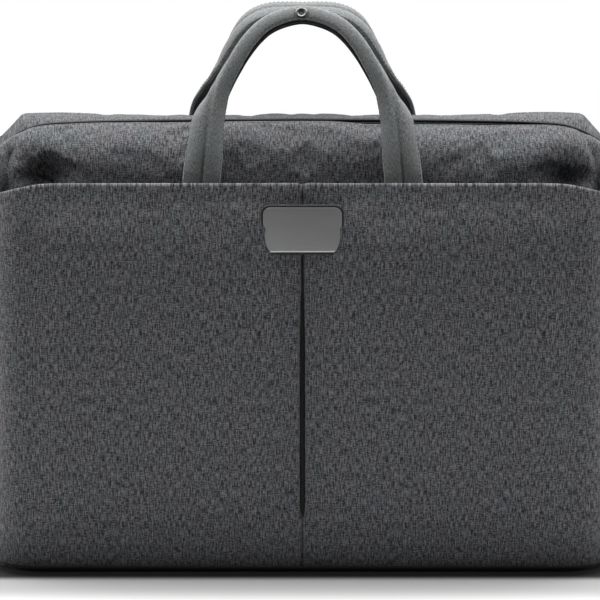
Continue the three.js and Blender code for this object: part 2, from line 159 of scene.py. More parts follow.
def curve_through(points: Sequence[Sequence[float]], count: int) -> Array:
    """Centripetal spline through points, as evenly spaced points.

    Args:
        points: what the curve passes through, two or three numbers each.
        count: how many points to return.

    Returns:
        The curve, one point a row.
    """
    p = np.asarray(points, float)
    p = np.vstack([2 * p[0] - p[1], p, 2 * p[-1] - p[-2]])
    pieces = []
    for a, b, c, d in zip(p, p[1:], p[2:], p[3:]):
        knots = [0.0]
        for start, end in ((a, b), (b, c), (c, d)):
            knots.append(knots[-1] + math.sqrt(float(np.linalg.norm(end - start))))
        k0, k1, k2, k3 = knots
        t = np.linspace(k1, k2, 16)[:, None]
        ab = mix(a, b, (t - k0) / (k1 - k0))
        bc = mix(b, c, (t - k1) / (k2 - k1))
        cd = mix(c, d, (t - k2) / (k3 - k2))
        abc = mix(ab, bc, (t - k0) / (k2 - k0))
        bcd = mix(bc, cd, (t - k1) / (k3 - k1))
        pieces.append(mix(abc, bcd, (t - k1) / (k2 - k1)))
    return evenly(np.vstack(pieces), count)


def undulation(x: Array, z: Array, size: float, seed: int) -> Array:
    """Gentle uneven waves over a surface, between about -1 and 1.

    Args:
        x: first surface coordinate.
        z: second surface coordinate.
        size: length of the typical wave.
        seed: picks the pattern.

    Returns:
        The waves' heights at the given places.
    """
    rng = np.random.default_rng(seed)
    total = np.zeros(np.broadcast(x, z).shape)
    waves = 7
    for _ in range(waves):
        turn = rng.uniform(0, math.pi)
        step = 2 * math.pi / (size * rng.uniform(0.7, 1.8))
        total += np.sin(step * (x * math.cos(turn) + z * math.sin(turn)) + rng.uniform(0, 6.28))
    return total / waves * 1.6


# ------------------------------------------------------------------ meshes


def grid_normals(grid: Array) -> Array:
    """Unit normals of a grid of points; columns run to the right and rows up, seen from outside."""
    return unit(np.cross(np.gradient(grid, axis=1), np.gradient(grid, axis=0)))


def grid_lengths(grid: Array) -> Array:
    """Cloth coordinates of a grid: length across from the middle column, and length up from row 0."""
    across = np.cumsum(np.linalg.norm(np.diff(grid, axis=1, prepend=grid[:, :1]), axis=2), axis=1)
    across -= across[:, grid.shape[1] // 2][:, None]
    up = np.cumsum(np.linalg.norm(np.diff(grid, axis=0, prepend=grid[:1]), axis=2), axis=0)
    return np.stack([across, up], axis=2)


def make_object(name: str, points: Array, faces: list[tuple[int, ...]], cloth: Optional[Array] = None,
                smooth: bool = True) -> bpy.types.Object:
    """Makes a mesh object.

    Args:
        name: the object's name.
        points: vertices in millimetres, one a row.
        faces: vertex numbers of each face.
        cloth: cloth coordinates of each vertex in millimetres, for weaves that follow the cloth.
        smooth: whether the faces shade smoothly.

    Returns:
        The new object, in the scene.
    """
    mesh = bpy.data.meshes.new(name)
    mesh.from_pydata((np.asarray(points) * MM).tolist(), [], faces)
    mesh.update()
    if cloth is not None:
        corners = np.empty(len(mesh.loops), dtype=np.int32)
        mesh.loops.foreach_get("vertex_index", corners)
        layer = mesh.uv_layers.new(name="cloth")
        layer.data.foreach_set("uv", cloth[corners].astype(np.float32).ravel())
    mesh.polygons.foreach_set("use_smooth", [smooth] * len(mesh.polygons))
    piece = bpy.data.objects.new(name, mesh)
    bpy.context.scene.collection.objects.link(piece)
    return piece


def quads(
    rows: int, columns: int, offset: int = 0, flip: bool = False, around: bool = False,
) -> list[tuple[int, ...]]:
    """Faces of a grid of vertices numbered row by row.

    Args:
        rows: rows of vertices.
        columns: vertices in each row.
        offset: number of the first vertex.
        flip: whether to turn the faces over.
        around: whether each row closes on itself.

    Returns:
        The faces.
    """
    faces = []
    for j in range(rows - 1):
        for i in range(columns if around else columns - 1):
            a, b = offset + j * columns + i, offset + j * columns + (i + 1) % columns
            face = (a, b, b + columns, a + columns)
            faces.append(face[::-1] if flip else face)
    return faces


def thick_sheet(name: str, grid: Array, thickness: Any) -> bpy.types.Object:
    """Closed cloth sheet with a rounded rim behind a grid of surface points.

    Args:
        name: the object's name.
        grid: rows by columns of points; columns run to the right and rows up, seen from outside.
        thickness: one number, or one for each point.

    Returns:
        The new object.
    """
    rows, columns = grid.shape[:2]
    normals = grid_normals(grid)
    depth = np.broadcast_to(np.asarray(thickness, float), (rows, columns))[..., None]
    back = grid - normals * depth
    ring = ([(0, i) for i in range(columns)] + [(j, columns - 1) for j in range(1, rows)]
            + [(rows - 1, i) for i in range(columns - 2, -1, -1)] + [(j, 0) for j in range(rows - 2, 0, -1)])
    js, is_ = np.array(ring).T
    edge = grid[js, is_]
    forward = unit(np.roll(edge, -1, axis=0) - np.roll(edge, 1, axis=0))
    outward = unit(np.cross(forward, normals[js, is_]))
    half = depth[js, is_] / 2
    cloth = grid_lengths(grid)
    rims = []
    for turn in (45, 90, 135):
        angle = math.radians(turn)
        middle = edge - normals[js, is_] * half
        rims.append(middle + half * (math.cos(angle) * normals[js, is_] + math.sin(angle) * outward))
    points = np.vstack([grid.reshape(-1, 3), back.reshape(-1, 3), *rims])
    flat = cloth.reshape(-1, 2)
    coordinates = np.vstack([flat, flat] + [cloth[js, is_]] * len(rims))
    size, count = rows * columns, len(ring)
    faces = quads(rows, columns) + quads(rows, columns, size, flip=True)
    outer = js * columns + is_
    chain = [outer] + [2 * size + k * count + np.arange(count) for k in range(len(rims))] + [outer + size]
    for a, b in zip(chain, chain[1:]):
        for i in range(count):
            k = (i + 1) % count
            faces.append((int(a[k]), int(a[i]), int(b[i]), int(b[k])))
    return make_object(name, points, faces, coordinates)


def tube(name: str, path: Array, sections: Array, across: Array, up: Array, closed: bool = False,
         cloth: Optional[Array] = None) -> bpy.types.Object:
    """Solid swept along a path.

    Args:
        name: the object's name.
        path: points along the path, one a row.
        sections: for each path point, the section's points as (across, up) pairs.
        across: for each path point, the direction of a section's first coordinate.
        up: for each path point, the direction of a section's second coordinate.
        closed: whether the path closes on itself.
        cloth: cloth coordinates for each path point and section point.

    Returns:
        The new object.
    """
    rings = path[:, None] + sections[..., :1] * across[:, None] + sections[..., 1:] * up[:, None]
    count, around = rings.shape[:2]
    faces = quads(count, around, around=True)
    if closed:
        last = (count - 1) * around
        faces += [(last + i, last + (i + 1) % around, (i + 1) % around, i) for i in range(around)]
    else:
        faces += [tuple(range(around))[::-1], tuple((count - 1) * around + i for i in range(around))]
    piece = make_object(name, rings.reshape(-1, 3), faces, None if cloth is None else cloth.reshape(-1, 2))
    outward_faces(piece)
    return piece


def outward_faces(piece: bpy.types.Object) -> None:
    """Turns a closed mesh's faces outwards if they point in."""
    mesh = piece.data
    mesh.calc_loop_triangles()
    corners = np.array([[mesh.vertices[v].co for v in t.vertices] for t in mesh.loop_triangles], float)
    volume = np.einsum("ij,ij->i", corners[:, 0], np.cross(corners[:, 1], corners[:, 2])).sum()
    if volume < 0:
        mesh.flip_normals()


def circle(radius: float, sides: int) -> Array:
    """Points of a circle as pairs."""
    turn = np.linspace(0, 2 * math.pi, sides, endpoint=False)
    return np.stack([radius * np.cos(turn), radius * np.sin(turn)], axis=1)


def path_frames(path: Array, reference: Array) -> tuple[Array, Array]:
    """Across and up directions along a path, kept as near as can be to a reference direction.

    Args:
        path: points of the path.
        reference: one direction, or one for each point, that up leans to.

    Returns:
        The across and the up directions.
    """
    tangent = unit(np.gradient(path, axis=0))
    across = unit(np.cross(np.broadcast_to(reference, path.shape), tangent))
    return across, unit(np.cross(tangent, across))


def round_tube(name: str, path: Array, radius: float, sides: int = 10, closed: bool = False,
               reference: Sequence[float] = (0.02, -1, 0.01)) -> bpy.types.Object:
    """Round cord, wire or piping along a path."""
    across, up = path_frames(path, np.asarray(reference, float))
    sections = np.broadcast_to(circle(radius, sides), (len(path), sides, 2))
    return tube(name, path, sections, across, up, closed)


def turned(name: str, profile: Sequence[Row], centre: Sequence[float], axis: Sequence[float],
           sides: int = 40) -> bpy.types.Object:
    """Round piece turned about an axis.

    Args:
        name: the object's name.
        profile: (radius, height along the axis) rows; it starts and ends on the axis or closes itself.
        centre: where height 0 lies.
        axis: the turning axis.
        sides: facets around.

    Returns:
        The new object.
    """
    direction = unit(np.asarray(axis, float))
    helper = np.array([1.0, 0, 0]) if abs(direction[0]) < 0.8 else np.array([0, 0, 1.0])
    side = unit(np.cross(direction, helper))
    other = np.cross(direction, side)
    turn = np.linspace(0, 2 * math.pi, sides, endpoint=False)[None, :, None]
    radii, heights = np.array(profile, float).T
    rings = (np.asarray(centre, float) + heights[:, None, None] * direction
             + radii[:, None, None] * (np.cos(turn) * side + np.sin(turn) * other))
    faces = quads(len(profile), sides, around=True)
    if radii[0] > 0.01 and np.allclose(profile[0], profile[-1]):
        rings = rings[:-1]
        faces = quads(len(rings), sides, around=True)
        last = (len(rings) - 1) * sides
        faces += [(last + i, last + (i + 1) % sides, (i + 1) % sides, i) for i in range(sides)]
    piece = make_object(name, rings.reshape(-1, 3), faces)
    weld(piece)
    outward_faces(piece)
    return piece


def weld(piece: bpy.types.Object, distance: float = 0.002) -> None:
    """Joins vertices closer than a distance in millimetres."""
    mesh = bmesh.new()
    mesh.from_mesh(piece.data)
    bmesh.ops.remove_doubles(mesh, verts=mesh.verts, dist=distance * MM)
    bmesh.ops.dissolve_degenerate(mesh, edges=mesh.edges, dist=distance * MM / 10)
    mesh.to_mesh(piece.data)
    mesh.free()


def block(
    name: str, low: Sequence[float], high: Sequence[float], bevel: float, segments: int = 3,
) -> bpy.types.Object:
    """Box between two corners with rounded edges."""
    corners = np.array([
        [x, y, z] for x in (low[0], high[0]) for y in (low[1], high[1]) for z in (low[2], high[2])
    ])
    faces = [(0, 1, 3, 2), (4, 6, 7, 5), (0, 4, 5, 1), (2, 3, 7, 6), (0, 2, 6, 4), (1, 5, 7, 3)]
    piece = make_object(name, corners, faces)
    round_edges(piece, bevel, segments)
    return piece


def round_edges(piece: bpy.types.Object, width: float, segments: int = 3, limit: float = 30) -> None:
    """Bevels the sharp edges of a piece and applies it."""
    modifier = piece.modifiers.new("round", "BEVEL")
    modifier.width = width * MM
    modifier.segments = segments
    modifier.limit_method = "ANGLE"
    modifier.angle_limit = math.radians(limit)
    apply_modifiers(piece)


def apply_modifiers(piece: bpy.types.Object) -> None:
    """Makes the modifiers' result the piece's own mesh."""
    evaluated = piece.evaluated_get(bpy.context.evaluated_depsgraph_get())
    mesh = bpy.data.meshes.new_from_object(evaluated)
    piece.modifiers.clear()
    piece.data = mesh
    mesh.polygons.foreach_set("use_smooth", [True] * len(mesh.polygons))


def join(name: str, pieces: Sequence[bpy.types.Object]) -> bpy.types.Object:
    """One object out of several, with the first one's cloth coordinates and materials kept."""
    points, faces, cloth, start = [], [], [], 0
    for piece in pieces:
        mesh = piece.data
        points += [tuple(v.co / MM) for v in mesh.vertices]
        faces += [tuple(start + v for v in p.vertices) for p in mesh.polygons]
        own = np.zeros((len(mesh.vertices), 2))
        if "cloth" in mesh.uv_layers:
            for corner, value in zip(mesh.loops, mesh.uv_layers["cloth"].data):
                own[corner.vertex_index] = value.uv
        cloth.append(own)
        start += len(mesh.vertices)
        bpy.data.objects.remove(piece)
    return make_object(name, np.array(points), faces, np.vstack(cloth))


def stitches(name: str, path: Array, normals: Array, pitch: float = 3.4, length: float = 2.5,
             radius: float = 0.32, sink: float = 0.05) -> bpy.types.Object:
    """Row of thread stitches lying on a surface.

    Args:
        name: the object's name.
        path: the seam's line.
        normals: the surface's outward direction at each point of the path.
        pitch: distance from one stitch to the next.
        length: length of the thread that shows.
        radius: thread radius.
        sink: how far the stitch's middle lies under the surface.

    Returns:
        The row, as one object.
    """
    total = float(np.linalg.norm(np.diff(path, axis=0), axis=1).sum())
    count = max(2, int(total / pitch))
    both = evenly(np.hstack([path, normals]), count * 2 + 1)
    centres, ups = both[1::2, :3], unit(both[1::2, 3:])
    tangents = unit(both[2::2, :3] - both[0:-1:2, :3])
    sides = unit(np.cross(ups, tangents))
    spindle = ((-0.5, 0.15), (-0.38, 0.85), (0.0, 1.15), (0.38, 0.85), (0.5, 0.15))
    ring = circle(1.0, 6)
    points, faces = [], []
    for centre, up, tangent, side in zip(centres, ups, tangents, sides):
        start = len(points)
        for reach, swell in spindle:
            drop = -sink - radius * 1.1 * (2 * reach) ** 2
            for a, b in ring * radius * swell:
                points.append(centre + tangent * reach * length + side * a + up * (b + drop + radius * 0.5))
        faces += quads(len(spindle), 6, start, around=True)
        faces.append(tuple(start + i for i in range(6))[::-1])
        faces.append(tuple(start + 6 * (len(spindle) - 1) + i for i in range(6)))
    piece = make_object(name, np.array(points), faces)
    outward_faces(piece)
    return piece


def rounded_outline(width: float, height: float, radius: float, steps: int = 9) -> Array:
    """Rounded rectangle about the origin, anticlockwise, as (x, z) pairs."""
    points = []
    for quarter, (sx, sz) in enumerate(((1, 1), (-1, 1), (-1, -1), (1, -1))):
        for turn in np.linspace(0, math.pi / 2, steps) + quarter * math.pi / 2:
            points.append((sx * (width / 2 - radius) + radius * math.cos(turn),
                           sz * (height / 2 - radius) + radius * math.sin(turn)))
    return np.array(points)


def pressed_plate(name: str, width: float, height: float, radius: float, rows: Sequence[Row],
                  centre: Sequence[float], filled: bool = True) -> bpy.types.Object:
    """Rounded rectangular plate or frame facing the front, as stacked outlines.

    Args:
        name: the object's name.
        width: across the outline of inset 0.
        height: of the same outline.
        radius: of its corners.
        rows: (inset, distance to the front of centre) of each outline, from the back round to the front.
        centre: the plate's middle.
        filled: whether the last outline is filled; otherwise the rows close on themselves.

    Returns:
        The new object.
    """
    rings = []
    for inset, forward in rows:
        outline = rounded_outline(width - 2 * inset, height - 2 * inset, max(radius - inset, 0.4))
        ring = np.zeros((len(outline), 3))
        ring[:, 0], ring[:, 1], ring[:, 2] = outline[:, 0], -forward, outline[:, 1]
        rings.append(ring + np.asarray(centre, float))
    around = len(rings[0])
    faces = quads(len(rings), around, around=True)
    last = (len(rings) - 1) * around
    if filled:
        faces += [tuple(range(around))[::-1], tuple(last + i for i in range(around))]
    else:
        faces += [(last + i, last + (i + 1) % around, (i + 1) % around, i) for i in range(around)]
    piece = make_object(name, np.vstack(rings), faces)
    outward_faces(piece)
    return piece


# ------------------------------------------------------------------ cloth that settles


def stretched_over(values: Array, rows: int, columns: int) -> Array:
    """A coarse grid of vectors spread over a finer one by straight-line reading."""
    a, b = values.shape[:2]
    down, across = np.linspace(0, a - 1, rows), np.linspace(0, b - 1, columns)
    wide = np.stack(
        [[np.interp(across, np.arange(b), line[:, k]) for line in values] for k in range(3)], axis=-1,
    )
    tall = np.empty((rows, columns, 3))
    for k in range(3):
        for i in range(columns):
            tall[:, i, k] = np.interp(down, np.arange(a), wide[:, i, k])
    return tall


def softened(values: Array, passes: int) -> Array:
    """A grid of vectors averaged with its neighbours a few times."""
    for _ in range(passes):
        padded = np.pad(values, ((1, 1), (1, 1), (0, 0)), mode="edge")
        values = (padded[1:-1, 1:-1] * 4 + padded[:-2, 1:-1] + padded[2:, 1:-1]
                  + padded[1:-1, :-2] + padded[1:-1, 2:]) / 8
    return values


@dataclass(frozen=True)
class Settling:
    """How a panel of cloth is let go, held by its seams, until it finds its own puckers and swell."""

    pressure: float = 3.0
    slack: float = 0.012
    cap: float = 5.0
    frames: int = 16
    rows: int = 44
    columns: int = 60
    stiffness: float = 12.0

    def settle(self, surface: Callable[[Array, Array], Array], held: Callable[[Array, Array], Array]
               ) -> Callable[[int, int], Array]:
        """Runs the cloth on a coarse grid of a surface.

        Args:
            surface: points of the panel for u and v from 0 to 1.
            held: how firmly the panel is held, 0 to 1, for the same u and v.

        Returns:
            A function of a finer grid's rows and columns that gives how far each point moves.
        """
        u, v = np.meshgrid(np.linspace(0, 1, self.columns), np.linspace(0, 1, self.rows))
        start = surface(u, v)
        moved = self._let_go(start, held(u, v)) - start
        length = np.linalg.norm(moved, axis=2, keepdims=True)
        moved *= np.minimum(1, self.cap / np.maximum(length, 1e-9))
        return lambda rows, columns: softened(stretched_over(moved, rows, columns), 2)

    def _let_go(self, grid: Array, held: Array) -> Array:
        """Simulates the grid as cloth and gives its points at the last frame."""
        rows, columns = grid.shape[:2]
        piece = make_object("settling_cloth", grid.reshape(-1, 3), quads(rows, columns))
        group = piece.vertex_groups.new(name="held")
        for number, weight in enumerate(held.ravel()):
            group.add([number], float(weight), "REPLACE")
        modifier = piece.modifiers.new("cloth", "CLOTH")
        settings = modifier.settings
        settings.quality = 6
        settings.mass = 0.2
        settings.tension_stiffness = self.stiffness
        settings.compression_stiffness = self.stiffness
        settings.shear_stiffness = self.stiffness / 2
        settings.bending_stiffness = 0.6
        settings.air_damping = 4
        settings.vertex_group_mass = "held"
        settings.shrink_min = -self.slack
        settings.use_pressure = True
        settings.uniform_pressure_force = self.pressure
        settings.effector_weights.gravity = 0
        modifier.point_cache.frame_start = 1
        modifier.point_cache.frame_end = self.frames
        for frame in range(1, self.frames + 1):
            bpy.context.scene.frame_set(frame)
        evaluated = piece.evaluated_get(bpy.context.evaluated_depsgraph_get())
        points = np.array([v.co for v in evaluated.to_mesh().vertices], float) / MM
        evaluated.to_mesh_clear()
        mesh = piece.data
        bpy.data.objects.remove(piece)
        bpy.data.meshes.remove(mesh)
        bpy.context.scene.frame_set(1)
        return points.reshape(rows, columns, 3)


# ------------------------------------------------------------------ finishes


class Signal:
    """An output socket that can be used in arithmetic."""

    def __init__(self, graph: "Graph", socket: Any) -> None:
        """Wraps a socket of a graph's node."""
        self.graph = graph
        self.socket = socket

    def _math(self, operation: str, *values: Any) -> "Signal":
        """Adds a Math node over the given values."""
        inputs = dict(enumerate(values))
        return self.graph.node("ShaderNodeMath", {"operation": operation}, inputs)

    def __add__(self, other: Any) -> "Signal":
        """Sum."""
        return self._math("ADD", self, other)

    __radd__ = __add__

    def __sub__(self, other: Any) -> "Signal":
        """Difference."""
        return self._math("SUBTRACT", self, other)

    def __rsub__(self, other: Any) -> "Signal":
        """Difference with the signal taken away."""
        return self._math("SUBTRACT", other, self)

    def __mul__(self, other: Any) -> "Signal":
        """Product."""
        return self._math("MULTIPLY", self, other)

    __rmul__ = __mul__

    def __pow__(self, other: Any) -> "Signal":
        """Power."""
        return self._math("POWER", self, other)

    def __abs__(self) -> "Signal":
        """Absolute value."""
        return self._math("ABSOLUTE", self)

    def sine(self) -> "Signal":
        """Sine, in radians."""
        return self._math("SINE", self)

    def above(self, limit: float) -> "Signal":
        """1 where the signal is over a limit, else 0."""
        return self._math("GREATER_THAN", self, limit)

    def ramp(self, low: float, high: float, start: float = 0.0, end: float = 1.0) -> "Signal":
        """Smooth step from start at low to end at high."""
        settings = {"interpolation_type": "SMOOTHSTEP"}
        inputs = {"Value": self, "From Min": low, "From Max": high, "To Min": start, "To Max": end}
        return self.graph.node("ShaderNodeMapRange", settings, inputs, "Result")


class Graph:
    """The node tree of a material or a world, and the one way nodes are added to it."""

    def __init__(self, owner: Any) -> None:
        """Empties the tree of a new material or world."""
        self.owner = owner
        self.owner.use_nodes = True
        self.tree = self.owner.node_tree
        self.tree.nodes.clear()

    @classmethod
    def of_material(cls, name: str) -> "Graph":
        """Graph of a new material."""
        return cls(bpy.data.materials.new(name))

    def node(self, kind: str, settings: Optional[dict[str, Any]] = None,
             inputs: Optional[dict[Any, Any]] = None, output: Any = 0) -> Signal:
        """Adds a node.

        Args:
            kind: the node's type.
            settings: its properties, set first; "stops" are a colour ramp's (place, colour) pairs.
            inputs: values or signals for its sockets, by name or number.
            output: which output to give back.

        Returns:
            That output.
        """
        node = self.tree.nodes.new(kind)
        for key, value in (settings or {}).items():
            if key == "stops":
                for place, stop in enumerate(value):
                    elements = node.color_ramp.elements
                    element = elements[place] if place < 2 else elements.new(stop[0])
                    element.position, element.color = stop[0], stop[1]
            else:
                setattr(node, key, value)
        for key, value in (inputs or {}).items():
            if isinstance(value, Signal):
                self.tree.links.new(value.socket, node.inputs[key])
            else:
                node.inputs[key].default_value = value
        return Signal(self, node.outputs[output])

    def vector(self, x: Any, y: Any, z: Any = 0.0) -> Signal:
        """Vector of three values."""
        return self.node("ShaderNodeCombineXYZ", None, {0: x, 1: y, 2: z})

    def noise(self, place: Signal, scale: float, detail: float = 2.0, roughness: float = 0.5) -> Signal:
        """Smooth noise between 0 and 1."""
        inputs = {"Vector": place, "Scale": scale, "Detail": detail, "Roughness": roughness}
        return self.node("ShaderNodeTexNoise", None, inputs, "Fac")

    def blend(self, share: Any, first: Any, second: Any) -> Signal:
        """Mix of two colours."""
        settings = {"data_type": "RGBA"}
        return self.node("ShaderNodeMix", settings, {0: share, 6: first, 7: second}, 2)

    def cloth_place(self) -> tuple[Signal, Signal]:
        """Cloth coordinates in millimetres: across and up."""
        across, up, _ = self.split(self.node("ShaderNodeUVMap", {"uv_map": "cloth"}, None, "UV"))
        return across, up

    def solid_place(self) -> Signal:
        """Place on the object, in millimetres."""
        place = self.node("ShaderNodeTexCoord", None, None, "Object")
        return self.node("ShaderNodeVectorMath", {"operation": "SCALE"}, {0: place, "Scale": 1 / MM})

    def bump(self, height: Signal, distance: float, strength: float = 1.0) -> Signal:
        """Bump from a height, with its depth in millimetres."""
        inputs = {"Height": height, "Distance": distance * MM, "Strength": strength}
        return self.node("ShaderNodeBump", None, inputs, "Normal")

    def surface(self, **inputs: Any) -> bpy.types.Material:
        """Closes the graph with a Principled surface; underscores stand for spaces."""
        named = {key.replace("_", " "): value for key, value in inputs.items()}
        shader = self.node("ShaderNodeBsdfPrincipled", None, named)
        output = self.tree.nodes.new("ShaderNodeOutputMaterial")
        self.tree.links.new(shader.socket, output.inputs["Surface"])
        return self.owner

    def split(self, place: Signal) -> tuple[Signal, Signal, Signal]:
        """The three parts of a vector."""
        node = self.tree.nodes.new("ShaderNodeSeparateXYZ")
        self.tree.links.new(place.socket, node.inputs[0])
        return Signal(self, node.outputs[0]), Signal(self, node.outputs[1]), Signal(self, node.outputs[2])


Colour = tuple[float, float, float, float]


def grey(value: float, blue: float = 0.0, green: float = 0.0) -> Colour:
    """A linear grey, with a little more blue or green if asked."""
    return (value, value * (1 + green), value * (1 + blue), 1.0)


@dataclass(frozen=True)
class MelangeWeave:
    """Plain weave of yarns that each change from dark to light along their length."""

    name: str
    dark: Colour
    light: Colour
    pitch: float = 0.8
    slub: float = 5.5
    spread: float = 0.14
    bias: float = 0.5
    relief: float = 0.35
    roughness: float = 0.92
    sheen: float = 0.15
    on_cloth: bool = True

    def build(self) -> bpy.types.Material:
        """Builds the material."""
        graph = Graph.of_material(self.name)
        if self.on_cloth:
            across, up = graph.cloth_place()
        else:
            x, y, z = graph.split(graph.solid_place())
            across, up = x + y, z + y * 0.7
        wander = graph.noise(graph.vector(across * 0.04, up * 0.04), 1.0, 1.0) * 1.2
        a, b = (across + wander) * (1 / self.pitch), (up + wander) * (1 / self.pitch)
        cross_a, cross_b = (a * math.pi).sine(), (b * math.pi).sine()
        on_top = (cross_a * cross_b).above(0.0)
        yarn, run = 1 / self.pitch, 1 / self.slub
        short = run * 1.8
        warp = graph.noise(graph.vector(across * yarn, up * run), 1.0, 2.0, 0.65)
        weft = graph.noise(graph.vector(across * short, up * yarn), 1.0, 2.0, 0.65)
        fibres = graph.noise(graph.vector(across, up), 3.0, 2.0, 0.7)
        yarns = on_top * warp + (1 - on_top) * weft
        tone = yarns * 0.4 + warp * 0.34 + weft * 0.2 + fibres * 0.06
        tone = tone.ramp(self.bias - self.spread, self.bias + self.spread)
        crown = (abs(cross_a) * abs(cross_b)) ** 0.5
        hue = graph.noise(graph.vector(across * 0.05, up * 0.035), 1.0, 2.0).ramp(0.4, 0.6)
        r, g, b = self.light[:3]
        light = graph.blend(hue, (r * 1.01, g * 0.99, b * 0.99, 1.0), (r * 0.95, g * 1.01, b, 1.0))
        # Painted shade: each yarn's colour is darker towards its edges, where the weave dips.
        colour = graph.blend(tone * (0.75 + crown * 0.25), self.dark, light)
        height = crown * 0.8 + tone * 0.35 + fibres * 0.25
        rough = self.roughness - tone * 0.08
        return graph.surface(
            Base_Color=colour, Roughness=rough, Normal=graph.bump(height, self.relief),
            Sheen_Weight=self.sheen, Sheen_Roughness=0.5, Specular_IOR_Level=0.15,
        )


@dataclass(frozen=True)
class RibbedTape:
    """Close woven zip tape with a herringbone of fine ribs."""

    name: str
    dark: Colour
    light: Colour
    rib: float = 0.9

    def build(self) -> bpy.types.Material:
        """Builds the material."""
        graph = Graph.of_material(self.name)
        place = graph.solid_place()
        x, y, z = graph.split(place)
        ribs = abs(((x + z + abs(y) * 1.2) * (math.pi / self.rib)).sine())
        fuzz = graph.noise(place, 1.6, 3.0, 0.6)
        tone = ribs * 0.6 + fuzz * 0.5
        return graph.surface(
            Base_Color=graph.blend(tone, self.dark, self.light), Roughness=0.85 + fuzz * 0.1,
            Normal=graph.bump(tone, 0.25), Sheen_Weight=0.15, Specular_IOR_Level=0.2,
        )


@dataclass(frozen=True)
class Moulded:
    """Moulded plastic or coated board with a fine grain."""

    name: str
    colour: Colour
    worn: Colour
    roughness: float = 0.45
    grain: float = 2.5
    relief: float = 0.03

    def build(self) -> bpy.types.Material:
        """Builds the material."""
        graph = Graph.of_material(self.name)
        place = graph.solid_place()
        grain = graph.noise(place, self.grain, 3.0, 0.6)
        patches = graph.noise(place, 0.12, 2.0)
        return graph.surface(
            Base_Color=graph.blend(patches.ramp(0.45, 0.75), self.colour, self.worn),
            Roughness=grain * 0.2 + (self.roughness - 0.1), Normal=graph.bump(grain, self.relief),
            Specular_IOR_Level=0.4,
        )


@dataclass(frozen=True)
class BrushedMetal:
    """Metal with fine lines all one way, and a painted reflection that makes it lighter towards the left and darker
    towards the right.
    """

    name: str
    dark: Colour
    light: Colour
    roughness: float = 0.34
    lines: float = 9.0
    length: float = 0.05
    relief: float = 0.012
    bright: float = -30.0
    dull: float = 12.0

    def build(self) -> bpy.types.Material:
        """Builds the material."""
        graph = Graph.of_material(self.name)
        x, y, z = graph.split(graph.solid_place())
        lines = graph.noise(graph.vector(x * self.length, y * self.lines, z * self.lines), 1.0, 4.0, 0.7)
        clouds = graph.noise(graph.vector(x * 0.02, y * 0.02, z * 0.05), 1.0, 1.0)
        # Painted reflection: the colour grows lighter to the left and darker to the right across X.
        tone = (lines * 0.8 + clouds * 0.2).ramp(0.3, 0.7) * 0.5 + x.ramp(self.bright, self.dull) * -0.5 + 0.5
        return graph.surface(
            Base_Color=graph.blend(tone, self.dark, self.light), Metallic=1.0,
            Roughness=lines * 0.16 + (self.roughness - 0.08), Normal=graph.bump(lines, self.relief),
        )


@dataclass(frozen=True)
class Backdrop:
    """Matt pale paper with a painted shadow: darker around the bag and nearly black under it."""

    name: str
    colour: Colour
    # The near and under colours are the painted shadow round the bag and beneath it.
    near: Colour
    under: Colour

    def build(self) -> bpy.types.Material:
        """Builds the material."""
        graph = Graph.of_material(self.name)
        clouds = graph.noise(graph.solid_place(), 0.004, 1.0)
        x, y, z = graph.split(graph.solid_place())
        beside, before = abs(x), abs(y)
        # Painted shadow: darker round the bag, and nearly black beneath its floor.
        near = beside.ramp(230, 330, 1.0, 0.0) * before.ramp(105, 190, 1.0, 0.0) * (0.96 + clouds * 0.04)
        under = beside.ramp(205, 225, 1.0, 0.0) * before.ramp(66, 84, 1.0, 0.0)
        # The paper's colour with the painted shadow mixed in.
        worn = graph.blend(near, self.colour, self.near)
        return graph.surface(
            Base_Color=graph.blend(under, worn, self.under), Roughness=0.95, Specular_IOR_Level=0.1,
        )


